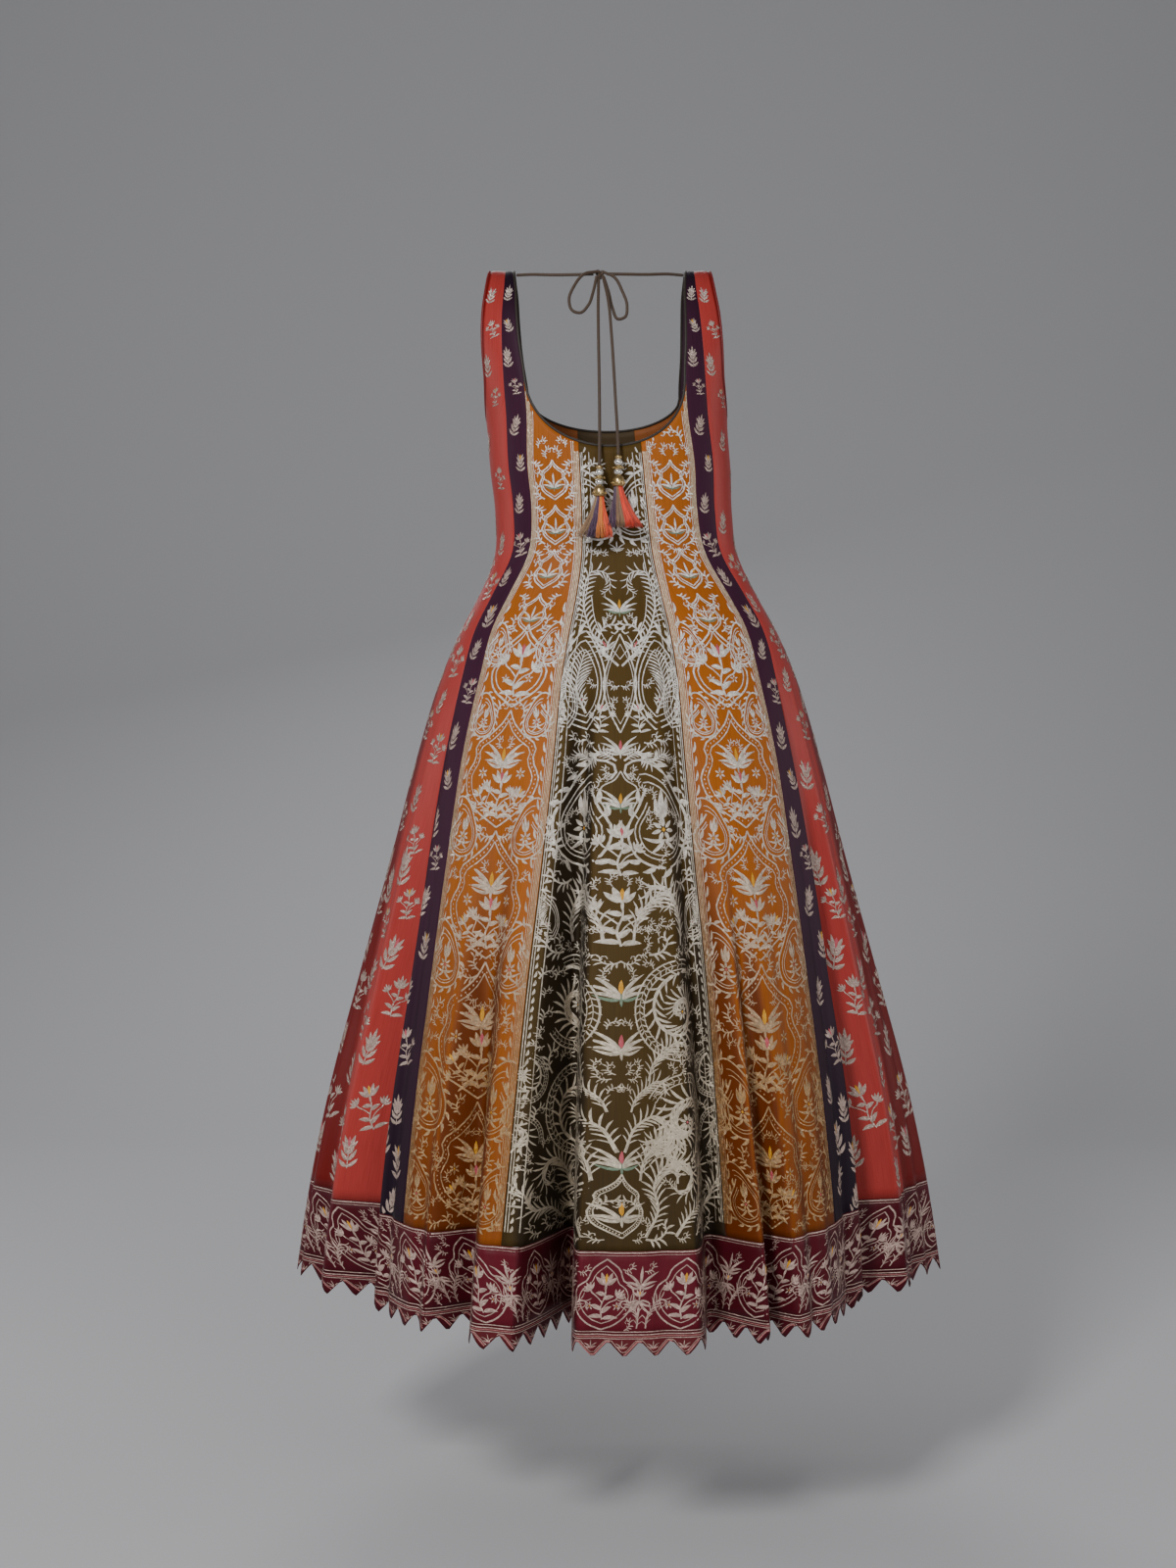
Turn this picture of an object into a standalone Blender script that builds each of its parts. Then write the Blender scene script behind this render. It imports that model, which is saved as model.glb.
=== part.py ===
"""A sleeveless, strappy anarkali gown, as worn on a general figure and seen with its folds at rest.

Metres, +Z up. The origin is midway between the two shoulder straps, at their highest points. +Y is the
wearer's back, -Y the front, and +X the wearer's left. The gown is fourteen tapering panels (kalis) of cloth,
a hem border, a pointed edging below it, bindings round the neck and armholes, and a tie across the back.

A place on the cloth is (around, height). "around" counts panels from the centre back, positive to the
wearer's right: 0 is the centre back, 1, 2 and 3 are the seams of the back half, 4 is the side, 5, 6 and 7
are the seams of the front half and 8 is the centre front. The left side has the same numbers, negative.
"""

from collections import namedtuple

import bpy
import numpy as np

# ---- driving dimensions ----
CLOTH_WALL = 0.0015  # thickness of the brocade with its seam turnings
SEAM_GAP = 0.0003  # between two pieces where they are sewn
BORDER_TOP = -1.121  # height of the seam between the panels and the hem border
BORDER_BOTTOM = -1.2085  # height of the seam between the border and the pointed edging
TAPE_DEPTH = 0.0075  # straight tape that the points hang from
POINT_DEPTH = 0.0185  # from the tape to the tip of a point
POINT_PITCH = 0.035  # from tip to tip along the hem
HEM_TIP = BORDER_BOTTOM - TAPE_DEPTH - POINT_DEPTH
HEM_DIP = 0.012  # how much lower the hem hangs at the centre back than at the side
SWAY = -0.0233  # the skirt's middle stands this far to the right of the shoulders' middle
SWAY_ENDS = -0.45  # height where that lean is complete
BACK_SCOOP_TOP = -0.146  # height where the back scoop turns up into the straps
BACK_SCOOP_LOW = -0.227  # its lowest point
FRONT_SCOOP_LOW = -0.186
UNDERARM = -0.185
ARMHOLE_ROUND = 0.055  # height over which the armhole curves in above the underarm
STRAP_TURN = (47.4, 70.0)  # outer edge of the strap, degrees at the shoulder and at the underarm
BINDING_REACH = 0.0026  # how far a binding stands out past the edge of the cloth
BINDING_PROUD = 0.0003  # how far it stands proud of the cloth on each side
CORD_THICKNESS = 0.0038
SHOULDER_GAP = 0.00035
NORMAL_STEP = (0.004, 0.0015)  # panels and metres, over which the cloth's slope is measured
SHARP_ANGLE = np.radians(50.0)  # a sharper edge than this, as a wall's rim, is shaded sharp
TOP_BAND = -1e-5  # above this height the strap is level, on top of the shoulder

# ---- cross-sections of the worn cloth, without its folds ----
# seam_1, seam_2 and seam_3 are turns in degrees from the centre back (and, mirrored, from the centre front).
Section = namedtuple("Section", "height half_width back front square seam_1 seam_2 seam_3")
SECTIONS = [
    Section(0.000, 0.170, 0.000, 0.000, 2.50, 13.0, 36.2, 39.4),
    Section(-0.010, 0.169, 0.032, 0.030, 2.50, 13.0, 36.1, 39.9),
    Section(-0.030, 0.167, 0.056, 0.050, 2.50, 13.0, 35.9, 40.9),
    Section(-0.060, 0.165, 0.080, 0.068, 2.50, 13.0, 36.1, 42.6),
    Section(-0.100, 0.160, 0.098, 0.084, 2.50, 13.1, 36.6, 45.1),
    Section(-0.140, 0.154, 0.107, 0.100, 2.50, 13.4, 36.6, 47.7),
    Section(-0.185, 0.1485, 0.112, 0.114, 2.50, 14.0, 37.7, 50.2),
    Section(-0.247, 0.148, 0.112, 0.124, 2.50, 14.6, 39.6, 51.7),
    Section(-0.300, 0.146, 0.106, 0.117, 2.50, 15.4, 39.8, 51.6),
    Section(-0.350, 0.150, 0.101, 0.108, 2.50, 16.0, 41.6, 52.6),
    Section(-0.401, 0.172, 0.116, 0.120, 2.35, 16.8, 47.2, 59.2),
    Section(-0.437, 0.192, 0.137, 0.138, 2.20, 17.4, 49.8, 61.4),
    Section(-0.499, 0.219, 0.168, 0.165, 2.05, 18.2, 49.2, 59.4),
    Section(-0.596, 0.249, 0.210, 0.205, 2.00, 18.3, 49.6, 60.4),
    Section(-0.718, 0.281, 0.252, 0.245, 2.00, 19.0, 48.6, 61.6),
    Section(-0.864, 0.321, 0.300, 0.290, 2.00, 19.8, 46.8, 60.4),
    Section(-1.010, 0.360, 0.342, 0.330, 2.00, 20.0, 45.4, 60.2),
    Section(-1.125, 0.384, 0.368, 0.352, 2.00, 20.4, 44.9, 60.2),
    Section(-1.240, 0.402, 0.387, 0.370, 2.00, 20.8, 44.5, 60.0),
]

# ---- the large folds of the skirt ----
# middle and half_width are in panels, reach is how far the cloth stands in (-) or out (+) at the hem,
# and top is the height where the fold begins.
Fold = namedtuple("Fold", "name middle half_width reach top")
FOLDS = [
    Fold("right back pocket", 0.89, 0.32, -0.083, -0.44),
    Fold("right orange crease", 1.29, 0.14, -0.058, -0.66),
    Fold("right back slack", 2.60, 1.60, -0.060, -0.50),
    Fold("right side pocket", 3.05, 0.28, -0.050, -0.47),
    Fold("right side crease", 3.60, 0.20, -0.016, -0.62),
    Fold("left back pocket", -0.60, 0.26, -0.150, -0.46),
    Fold("left orange crease", -1.42, 0.26, -0.070, -0.58),
    Fold("left back slack", -2.50, 1.60, -0.045, -0.52),
    Fold("left side pocket", -2.96, 0.38, -0.050, -0.49),
    Fold("left side crease", -3.56, 0.22, -0.022, -0.68),
    Fold("right front side pocket", 4.78, 0.34, -0.058, -0.50),
    Fold("right front crease", 6.02, 0.36, -0.040, -0.62),
    Fold("right front pocket", 6.90, 0.28, -0.085, -0.46),
    Fold("left front side pocket", -4.70, 0.32, -0.064, -0.48),
    Fold("left front crease", -5.86, 0.34, -0.034, -0.66),
    Fold("left front pocket", -6.96, 0.30, -0.078, -0.47),
]
FOLD_GROWTH = 1.15  # a fold deepens with this power of its run down to the hem
ALL_ROUND = 16.0  # panel numbers in one turn of the gown
SIDE = 4.0  # the side, as the back half's last place
FRONT_SIDE = 4.000001  # the side again, as the front half's first place

# ---- the panels of one half of the back; the front has the same ----
# The ends are "around" numbers, and columns is the number of facets across.
Panel = namedtuple("Panel", "name start end columns colour")
OLIVE = (0.070, 0.048, 0.022)
ORANGE = (0.500, 0.155, 0.025)
PURPLE = (0.050, 0.025, 0.058)
CORAL = (0.520, 0.065, 0.052)
MAROON = (0.230, 0.028, 0.055)
TIE_BROWN = (0.050, 0.024, 0.010)
PIPING = (0.020, 0.014, 0.009)
GOLD = (0.520, 0.340, 0.120)
TASSEL_RED = (0.420, 0.060, 0.020)
SIDE_PANELS = [
    Panel("orange", 1.0, 2.0, 7, ORANGE),
    Panel("purple", 2.0, 3.0, 4, PURPLE),
    Panel("coral", 3.0, 4.0, 7, CORAL),
]
CENTRE_COLUMNS = 8
SKIRT_LEVELS = (-0.25, -0.30, -0.35, -0.40, -0.45, -0.51, -0.60, -0.70, -0.82, -0.96)
STRAP_LEVELS = (0.0, -0.001, -0.005, -0.015, -0.035, -0.065, -0.10)
BODICE_LEVELS = STRAP_LEVELS + (BACK_SCOOP_TOP, -0.165, -0.178, UNDERARM)

# ---- the tie: a row for each stretch of cord, through its own points (x, y, z) ----
KNOT_AT = (0.0, 0.060, -0.0135)
KNOT_HALF_SIZES = (0.0056, 0.0048, 0.0062)
Stretch = namedtuple("Stretch", "name points")
STRETCHES = [
    Stretch("tie_left", [(0.1008, 0.0285, -0.0095), (0.084, 0.042, -0.0110), (0.056, 0.054, -0.0135),
                         (0.028, 0.059, -0.0140), (0.0078, 0.0602, -0.0135)]),
    Stretch("tie_right", [(-0.1008, 0.0285, -0.0095), (-0.084, 0.042, -0.0105), (-0.056, 0.054, -0.0130),
                          (-0.028, 0.059, -0.0135), (-0.0078, 0.0602, -0.0135)]),
    Stretch("bow_left", [(0.0072, 0.0640, -0.0105), (0.0190, 0.0690, -0.0150), (0.0310, 0.0745, -0.0300),
                         (0.0372, 0.0790, -0.0480), (0.0330, 0.0820, -0.0610), (0.0235, 0.0825, -0.0635),
                         (0.0140, 0.0800, -0.0540), (0.0082, 0.0740, -0.0370), (0.0062, 0.0680, -0.0215)]),
    Stretch("bow_right", [(-0.0072, 0.0640, -0.0115), (-0.0170, 0.0690, -0.0185), (-0.0265, 0.0755, -0.0360),
                          (-0.0325, 0.0810, -0.0560), (-0.0300, 0.0840, -0.0690), (-0.0215, 0.0850, -0.0715),
                          (-0.0150, 0.0820, -0.0580), (-0.0105, 0.0750, -0.0380), (-0.0070, 0.0680, -0.0225)]),
    Stretch("tail_left", [(0.0020, 0.0645, -0.0225), (0.0022, 0.0790, -0.0500), (0.0020, 0.0960, -0.0900),
                          (0.0014, 0.1070, -0.1300), (0.0008, 0.1140, -0.1750), (0.0006, 0.1185, -0.2150),
                          (0.0006, 0.1205, -0.2490)]),
    Stretch("tail_right", [(-0.0050, 0.0720, -0.0225), (-0.0100, 0.0850, -0.0500), (-0.0135, 0.0990, -0.0900),
                           (-0.0160, 0.1090, -0.1300), (-0.0185, 0.1160, -0.1750), (-0.0205, 0.1200, -0.2100),
                           (-0.0215, 0.1212, -0.2370)]),
]
CORD_POINT_SPACING = 0.009

# Each tail ends in a bead cluster and a tassel. A row gives a turned profile, top down.
Turn = namedtuple("Turn", "below radius")
BEAD_PROFILE = [Turn(0.0, 0.0022), Turn(0.003, 0.0046), Turn(0.009, 0.0052), Turn(0.011, 0.0036),
                Turn(0.016, 0.0056), Turn(0.022, 0.0044), Turn(0.027, 0.0068), Turn(0.034, 0.0074),
                Turn(0.037, 0.0042)]
TASSEL_PROFILE = [Turn(0.0, 0.0040), Turn(0.006, 0.0070), Turn(0.022, 0.0115), Turn(0.038, 0.0150),
                  Turn(0.050, 0.0165)]
BEADS_SET_OUT = 0.004  # how far behind the end of its tail a bead cluster hangs
TASSEL_FLATNESS = 0.55  # depth of a tassel against its width
TASSEL_LEAN = {"left": 0.0052, "right": -0.0088}  # how far each tassel's foot hangs to its side
TURNED_SIDES = 12


# ---- smooth curves through the tables ----
def smooth(at, knots, values):
    """A curve through (knots, values): on each span, a cubic whose end slopes are those of the neighbours.

    at, knots: increasing values. The slope at a knot is the mean slope of its two spans, each weighted by
    the other span's length.
    """
    knots, values = np.asarray(knots, float), np.asarray(values, float)
    span = np.diff(knots)
    rise = np.diff(values) / span
    slope = np.empty(len(knots))
    slope[1:-1] = (rise[:-1] * span[1:] + rise[1:] * span[:-1]) / (span[:-1] + span[1:])
    slope[0], slope[-1] = rise[0], rise[-1]
    i = np.clip(np.searchsorted(knots, at) - 1, 0, len(span) - 1)
    t = np.clip((at - knots[i]) / span[i], 0.0, 1.0)
    start, end = values[i], values[i + 1]
    bend = (2 * t**3 - 3 * t**2 + 1) * start + (3 * t**2 - 2 * t**3) * end
    return bend + span[i] * ((t**3 - 2 * t**2 + t) * slope[i] + (t**3 - t**2) * slope[i + 1])


def root(height):
    """Square root of the drop below the shoulder, in which the shoulder's round top is a straight line."""
    return np.sqrt(np.maximum(-np.asarray(height, float), 0.0))


ROOTS = root([row.height for row in SECTIONS])


def column(name, height):
    """One column of SECTIONS at any height."""
    return smooth(root(height), ROOTS, [getattr(row, name) for row in SECTIONS])


# ---- the surface of the worn cloth ----
def wrap(around):
    """The same places, numbered from -8 to 8."""
    return (np.asarray(around, float) + 8.0) % ALL_ROUND - 8.0


def strap_edge(height):
    """Turn of the armhole's edge: it leaves the side at the underarm in a quarter of an ellipse."""
    share = np.clip(-height / -UNDERARM, 0.0, 1.0)
    free = STRAP_TURN[0] + (STRAP_TURN[1] - STRAP_TURN[0]) * share
    up = np.clip((height - UNDERARM) / ARMHOLE_ROUND, 0.0, 1.0)
    return 90.0 - (90.0 - free) * np.sqrt(1.0 - (1.0 - up) ** 2)


def turn(around, height):
    """Degrees from the centre back (0) through the side (90) to the centre front (180), signed as around."""
    size = np.abs(around)
    mirrored = np.where(size > SIDE, 8.0 - size, size)
    seams = [0.0 * height, column("seam_1", height), column("seam_2", height), column("seam_3", height),
             strap_edge(height)]
    panel = np.clip(np.floor(mirrored).astype(int), 0, 3)
    part = mirrored - panel
    low = np.choose(panel, seams[:4])
    high = np.choose(panel, seams[1:])
    degrees = low + (high - low) * part
    return np.sign(around) * np.where(size > SIDE, 180.0 - degrees, degrees)


def fold_reach(around, height):
    """How far the folds move the cloth out: the sum, over FOLDS, of a cosine bump that deepens downwards."""
    total = 0.0 * around * height
    for fold in FOLDS:
        away = (around - fold.middle + ALL_ROUND / 2) % ALL_ROUND - ALL_ROUND / 2
        near = np.clip(np.abs(away) / fold.half_width, 0.0, 1.0)
        run = np.clip((fold.top - height) / (fold.top - HEM_TIP), 0.0, 1.0)
        total = total + fold.reach * run**FOLD_GROWTH * 0.5 * (1.0 + np.cos(np.pi * near))
    return total


def surface(around, height):
    """Outer face of the cloth: a rounded section at each height, leaned to one side, with the folds added."""
    around, height = np.broadcast_arrays(np.asarray(around, float), np.asarray(height, float))
    angle = np.radians(turn(around, height))
    side, back = np.sin(angle), np.cos(angle)
    square = column("square", height)
    scale = (np.abs(side) ** square + np.abs(back) ** square) ** (-1.0 / square)
    depth = np.where(back >= 0.0, column("back", height), column("front", height))
    reach = fold_reach(around, height)
    lean = np.clip(height / SWAY_ENDS, 0.0, 1.0)
    x = -(column("half_width", height) * scale + reach) * side + SWAY * lean**2 * (3 - 2 * lean)
    y = (depth * scale + reach) * back
    return np.stack([x, y, height], axis=-1)


def slopes(around, height):
    """(unit step around, outward unit normal) of the cloth at each place."""
    around, height = np.broadcast_arrays(np.asarray(around, float), np.asarray(height, float))
    da, dz = NORMAL_STEP
    above = np.minimum(height + dz, -1e-7)
    along = surface(same_half(around + da, around), height) - surface(same_half(around - da, around), height)
    up = surface(around, above) - surface(around, height - dz)
    normal = np.cross(along, up)
    normal[height > TOP_BAND] = (0.0, 0.0, 1.0)
    return unit(along), unit(normal)


def same_half(moved, around):
    """The moved places, held on the half (back or front) that `around` is on, as an armhole parts the two."""
    back = np.clip(moved, -SIDE, SIDE)
    front = np.sign(around) * np.maximum(np.abs(moved), FRONT_SIDE)
    return np.where(np.abs(around) > SIDE, front, back)


def unit(vectors):
    return vectors / np.linalg.norm(vectors, axis=-1, keepdims=True)


def hem_drop(around):
    """The hem hangs a little lower behind and a little higher in front than at the sides."""
    return -HEM_DIP * np.cos(np.asarray(around, float) * np.pi / 8.0)


def scoop(around):
    """Height of the neckline between the straps: half an ellipse, its ends upright where they meet them."""
    size = np.abs(around)
    front = size > SIDE
    part = np.where(front, 8.0 - size, size)
    reference = 0.0 * part + BACK_SCOOP_TOP - 0.05
    across = np.abs(surface(part, reference)[..., 0] - surface(0.0 * part, reference)[..., 0])
    whole = np.abs(surface(0.0 * part + 2.0, reference)[..., 0] - surface(0.0 * part, reference)[..., 0])
    low = np.where(front, FRONT_SCOOP_LOW, BACK_SCOOP_LOW)
    return BACK_SCOOP_TOP + (low - BACK_SCOOP_TOP) * np.sqrt(np.clip(1.0 - (across / whole) ** 2, 0.0, 1.0))


# ---- meshes ----
def material(name, colour, roughness, metallic=0.0):
    found = bpy.data.materials.get(name) or bpy.data.materials.new(name)
    found.use_nodes = True
    shader = found.node_tree.nodes["Principled BSDF"]
    shader.inputs["Base Color"].default_value = (*colour, 1.0)
    shader.inputs["Roughness"].default_value = roughness
    shader.inputs["Metallic"].default_value = metallic
    return found


def add_object(name, points, faces, finish):
    mesh = bpy.data.meshes.new(name)
    mesh.from_pydata(points.tolist(), [], faces)
    mesh.materials.append(finish)
    mesh.shade_smooth()
    mesh.set_sharp_from_angle(angle=SHARP_ANGLE)
    bpy.context.scene.collection.objects.link(bpy.data.objects.new(name, mesh))


def wall(name, outer, normal, finish):
    """A wall of the cloth's thickness behind a grid of outer points (rows, columns, 3), closed at its rim."""
    rows, columns = outer.shape[:2]
    inner = outer - facet_normals(outer, normal) * CLOTH_WALL
    count = rows * columns
    place = np.arange(count).reshape(rows, columns)
    quads = np.stack([place[:-1, :-1], place[:-1, 1:], place[1:, 1:], place[1:, :-1]], axis=-1).reshape(-1, 4)
    rim = np.concatenate([place[0, :-1], place[:-1, -1], place[-1, :0:-1], place[:0:-1, 0]])
    after = np.roll(rim, -1)
    sides = np.stack([rim, rim + count, after + count, after], axis=-1)
    points = np.concatenate([outer.reshape(-1, 3), inner.reshape(-1, 3)])
    facets = split(points, quads)
    faces = np.concatenate([facets, facets[:, ::-1] + count, sides[:, :3], sides[:, (0, 2, 3)]])
    add_object(name, points, turned_out(points, faces), finish)


def facet_normals(outer, normal):
    """The normals with their level part taken from the facets beside each point, except at the side edges, so
    that the wall doesn't cross itself in a tight fold."""
    facet = unit(np.cross(outer[1:, :-1] - outer[:-1, 1:], outer[1:, 1:] - outer[:-1, :-1]))
    near = normal[:-1, :-1] + normal[1:, :-1] + normal[:-1, 1:] + normal[1:, 1:]
    facet *= np.sign((facet * near).sum(axis=-1, keepdims=True))
    facet = np.concatenate([facet[:1], facet, facet[-1:]])
    level = facet[:-1, :-1] + facet[1:, :-1] + facet[:-1, 1:] + facet[1:, 1:]
    upright = normal[:, 1:-1, 2:]
    found = normal.copy()
    found[:, 1:-1, :2] = unit(level[..., :2]) * np.sqrt(np.maximum(1.0 - upright**2, 0.0))
    return found


def split(points, quads):
    """Each quad as two triangles, parted along its shorter diagonal."""
    a, b, c, d = points[quads].transpose(1, 0, 2)
    shorter = np.linalg.norm(c - a, axis=1) <= np.linalg.norm(d - b, axis=1)
    turned_quads = np.where(shorter[:, None], quads, np.roll(quads, -1, axis=1))
    return np.concatenate([turned_quads[:, :3], turned_quads[:, (0, 2, 3)]])


def turned_out(points, faces):
    """The faces, all turned round if they enclose a negative volume."""
    corners = points[faces[:, :3]]
    if faces.shape[1] == 4:
        corners = np.concatenate([corners, points[faces[:, (0, 2, 3)]]])
    volume = np.linalg.det(corners).sum()
    return (faces if volume > 0 else faces[:, ::-1]).tolist()


def cloth_grid(across, heights):
    """Outer points and normals for columns at `across` and heights (rows, columns), trimmed at both sides
    by half a seam."""
    around = np.broadcast_to(wrap(across), heights.shape)
    outer = surface(around, heights)
    along, normal = slopes(around, heights)
    trim = np.zeros(len(across))
    trim[0], trim[-1] = 0.5 * SEAM_GAP, -0.5 * SEAM_GAP
    return outer + along * trim[None, :, None], normal


def centre_panel(name, middle, finish):
    """The panel at the centre back (middle 0) or front (middle 8), from the neckline to the border."""
    across = middle + np.linspace(-1.0, 1.0, CENTRE_COLUMNS + 1)
    neck_panel(name, across, scoop(wrap(across)), finish)


def neck_panel(name, across, tops, finish):
    """A panel whose top follows the neckline: its levels there meet those of the strap panel beside it."""
    first = SKIRT_LEVELS[0]
    levels = [level for level in BODICE_LEVELS if level <= BACK_SCOOP_TOP]
    shares = [(level - BACK_SCOOP_TOP) / (first - BACK_SCOOP_TOP) for level in levels]
    upper = [tops + (first - tops) * share for share in shares]
    bottoms = BORDER_TOP + hem_drop(across) + SEAM_GAP
    rows = upper + [np.full_like(tops, level) for level in SKIRT_LEVELS] + [bottoms]
    outer, normal = cloth_grid(across, np.stack(rows))
    wall(name, outer, normal, finish)


def strap_panel(name, across, finish):
    """A panel that runs up over the shoulder: its levels are the bodice's and the skirt's."""
    bottoms = BORDER_TOP + hem_drop(across) + SEAM_GAP
    rows = [np.full(len(across), level) for level in BODICE_LEVELS + SKIRT_LEVELS] + [bottoms]
    outer, normal = cloth_grid(across, np.stack(rows))
    outer[0, :, 1] = np.sign(outer[1, :, 1]) * SHOULDER_GAP
    wall(name, outer, normal, finish)


def add_panels():
    centre_panel("panel_back_centre", 0.0, material("olive_brocade", OLIVE, 0.5))
    centre_panel("panel_front_centre", 8.0, material("olive_brocade", OLIVE, 0.5))
    for panel in SIDE_PANELS:
        finish = material(panel.name + "_brocade", panel.colour, 0.5)
        across = np.linspace(panel.start, panel.end, panel.columns + 1)
        for half, places in (("back", across), ("front", np.maximum(8.0 - across[::-1], FRONT_SIDE))):
            for hand, sign in (("right", 1.0), ("left", -1.0)):
                name = f"panel_{half}_{panel.name}_{hand}"
                spots = places if sign > 0 else -places[::-1]
                if panel.name == "orange":
                    neck_panel(name, spots, scoop(spots), finish)
                else:
                    strap_panel(name, spots, finish)


# ---- the hem border and its pointed edging ----
def border_places(middle):
    """The panels' own columns from side to side, so that the border's facets follow theirs."""
    right = [np.linspace(0.0, 1.0, CENTRE_COLUMNS // 2 + 1)[:-1]]
    right += [np.linspace(panel.start, panel.end, panel.columns + 1)[:-1] for panel in SIDE_PANELS]
    right = np.concatenate(right + [[SIDE]])
    return middle + np.concatenate([-right[:0:-1], right])


def add_border(half, middle, finish):
    across = border_places(middle)
    drop = hem_drop(across)
    rows = [BORDER_TOP - SEAM_GAP + drop, BORDER_BOTTOM + SEAM_GAP + drop]
    outer, normal = cloth_grid(across, np.stack(rows))
    wall(f"hem_border_{half}", outer, normal, finish)


def even_places(start, end, pitch, at_height, fine=1600):
    """Places from start to end, a whole number of pitches apart along the hem."""
    around = np.linspace(start, end, fine)
    path = surface(wrap(around), np.full(fine, at_height))
    run = np.concatenate([[0.0], np.cumsum(np.linalg.norm(np.diff(path, axis=0), axis=1))])
    count = max(1, round(run[-1] / pitch))
    return np.interp(np.linspace(0.0, run[-1], 2 * count + 1), run, around)


def add_points(half, middle, finish):
    """The straight tape with its row of points: every second column reaches down to a tip."""
    across = even_places(middle - 4.0, middle + 4.0, POINT_PITCH, BORDER_BOTTOM)
    drop = hem_drop(across)
    tips = np.arange(len(across)) % 2 * POINT_DEPTH
    rows = [BORDER_BOTTOM - SEAM_GAP + drop, BORDER_BOTTOM - TAPE_DEPTH - tips + drop]
    outer, normal = cloth_grid(across, np.stack(rows))
    wall(f"hem_points_{half}", outer, normal, finish)


# ---- bindings ----
def binding(name, edge, normal, outward, finish):
    """A closed ring along an edge of the cloth: a small rectangle that starts a seam's gap past the edge.

    edge, normal, outward: (stations, 3), the cloth's edge, its outward normal and the way past the edge.
    """
    near, far = SEAM_GAP, SEAM_GAP + BINDING_REACH
    top, bottom = BINDING_PROUD, -CLOTH_WALL - BINDING_PROUD
    corners = [(near, top), (far, top), (far, bottom), (near, bottom)]
    rings = np.stack([edge + outward * out + normal * lift for out, lift in corners], axis=1)
    count, sides = rings.shape[:2]
    place = np.arange(count * sides).reshape(count, sides)
    after = np.roll(place, -1, axis=0)
    beside = np.roll(place, -1, axis=1)
    both = np.roll(after, -1, axis=1)
    faces = np.stack([place, beside, both, after], axis=-1).reshape(-1, 4)
    points = rings.reshape(-1, 3)
    add_object(name, points, turned_out(points, faces), finish)


def edge_frame(around, height, past):
    """Edge points, normals and the unit way past the edge, square to both the normal and the edge's run."""
    edge = surface(around, height)
    _, normal = slopes(around, height)
    run = unit(np.roll(edge, -1, axis=0) - np.roll(edge, 1, axis=0))
    outward = unit(np.cross(normal, run))
    if (outward * past).sum() < 0:
        outward = -outward
    return edge, normal, outward


def neck_binding(finish):
    """Round the back scoop, up the straps' inner edges, over the shoulders and round the front scoop."""
    side, centre = np.linspace(2.0, 1.0, 8)[:-1], np.linspace(1.0, -1.0, CENTRE_COLUMNS + 1)
    back = np.concatenate([side, centre, -side[::-1]])
    front = back - 8.0
    upward = np.array(STRAP_LEVELS[:0:-1])
    runs = [
        (back, scoop(back)),
        (np.full(len(upward) + 1, -2.0), np.append(upward, 0.0)),
        (np.full(len(upward), -6.0), upward[::-1]),
        (wrap(front), scoop(wrap(front))),
        (np.full(len(upward) + 1, 6.0), np.append(upward, 0.0)),
        (np.full(len(upward), 2.0), upward[::-1]),
    ]
    around = np.concatenate([run[0] for run in runs])
    height = np.concatenate([run[1] for run in runs])
    edge = surface(around, height)
    inward = np.array([0.0, 0.0, 0.0]) - edge
    binding("neck_binding", *edge_frame(around, height, inward), finish)


def armhole_binding(hand, sign, finish):
    """From the underarm up the strap's outer edge, over the shoulder and down in front."""
    upward = np.array(BODICE_LEVELS[::-1])
    around = sign * np.concatenate([np.full(len(upward), SIDE), np.full(len(upward) - 1, FRONT_SIDE)])
    height = np.concatenate([upward, upward[::-1][1:]])
    edge = surface(around, height)
    middle = np.array([edge[:, 0].mean() * 1.5, 0.0, UNDERARM / 2])
    binding(f"armhole_binding_{hand}", *edge_frame(around, height, middle - edge), finish)


# ---- the tie ----
def even_route(points):
    """The same smooth curve through a stretch's points, read at even spacing."""
    points = np.array(points)
    run = np.concatenate([[0.0], np.cumsum(np.linalg.norm(np.diff(points, axis=0), axis=1))])
    fine = np.linspace(0.0, run[-1], 400)
    curve = np.stack([smooth(fine, run, points[:, k]) for k in range(3)], axis=1)
    length = np.concatenate([[0.0], np.cumsum(np.linalg.norm(np.diff(curve, axis=0), axis=1))])
    at = np.linspace(0.0, length[-1], max(3, round(length[-1] / CORD_POINT_SPACING) + 1))
    return np.stack([np.interp(at, length, curve[:, k]) for k in range(3)], axis=1)


def add_stretch(stretch, finish):
    route = even_route(stretch.points)
    curve = bpy.data.curves.new(stretch.name, "CURVE")
    curve.dimensions = "3D"
    curve.bevel_depth = CORD_THICKNESS / 2
    curve.bevel_resolution = 2
    curve.use_fill_caps = True
    spline = curve.splines.new("POLY")
    spline.points.add(len(route) - 1)
    spline.points.foreach_set("co", np.append(route, np.ones((len(route), 1)), axis=1).ravel())
    curve.materials.append(finish)
    bpy.context.scene.collection.objects.link(bpy.data.objects.new(stretch.name, curve))


def add_knot(finish):
    """The bow's knot: a small rounded lump, a little wider than it is high."""
    bpy.ops.mesh.primitive_uv_sphere_add(segments=12, ring_count=8, radius=1.0, location=KNOT_AT)
    knot = bpy.context.object
    knot.name = "bow_knot"
    knot.data.name = "bow_knot"
    knot.scale = KNOT_HALF_SIZES
    bpy.context.view_layer.update()
    bpy.ops.object.transform_apply(location=False, rotation=False, scale=True)
    knot.data.materials.append(finish)
    knot.data.shade_smooth()


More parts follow.
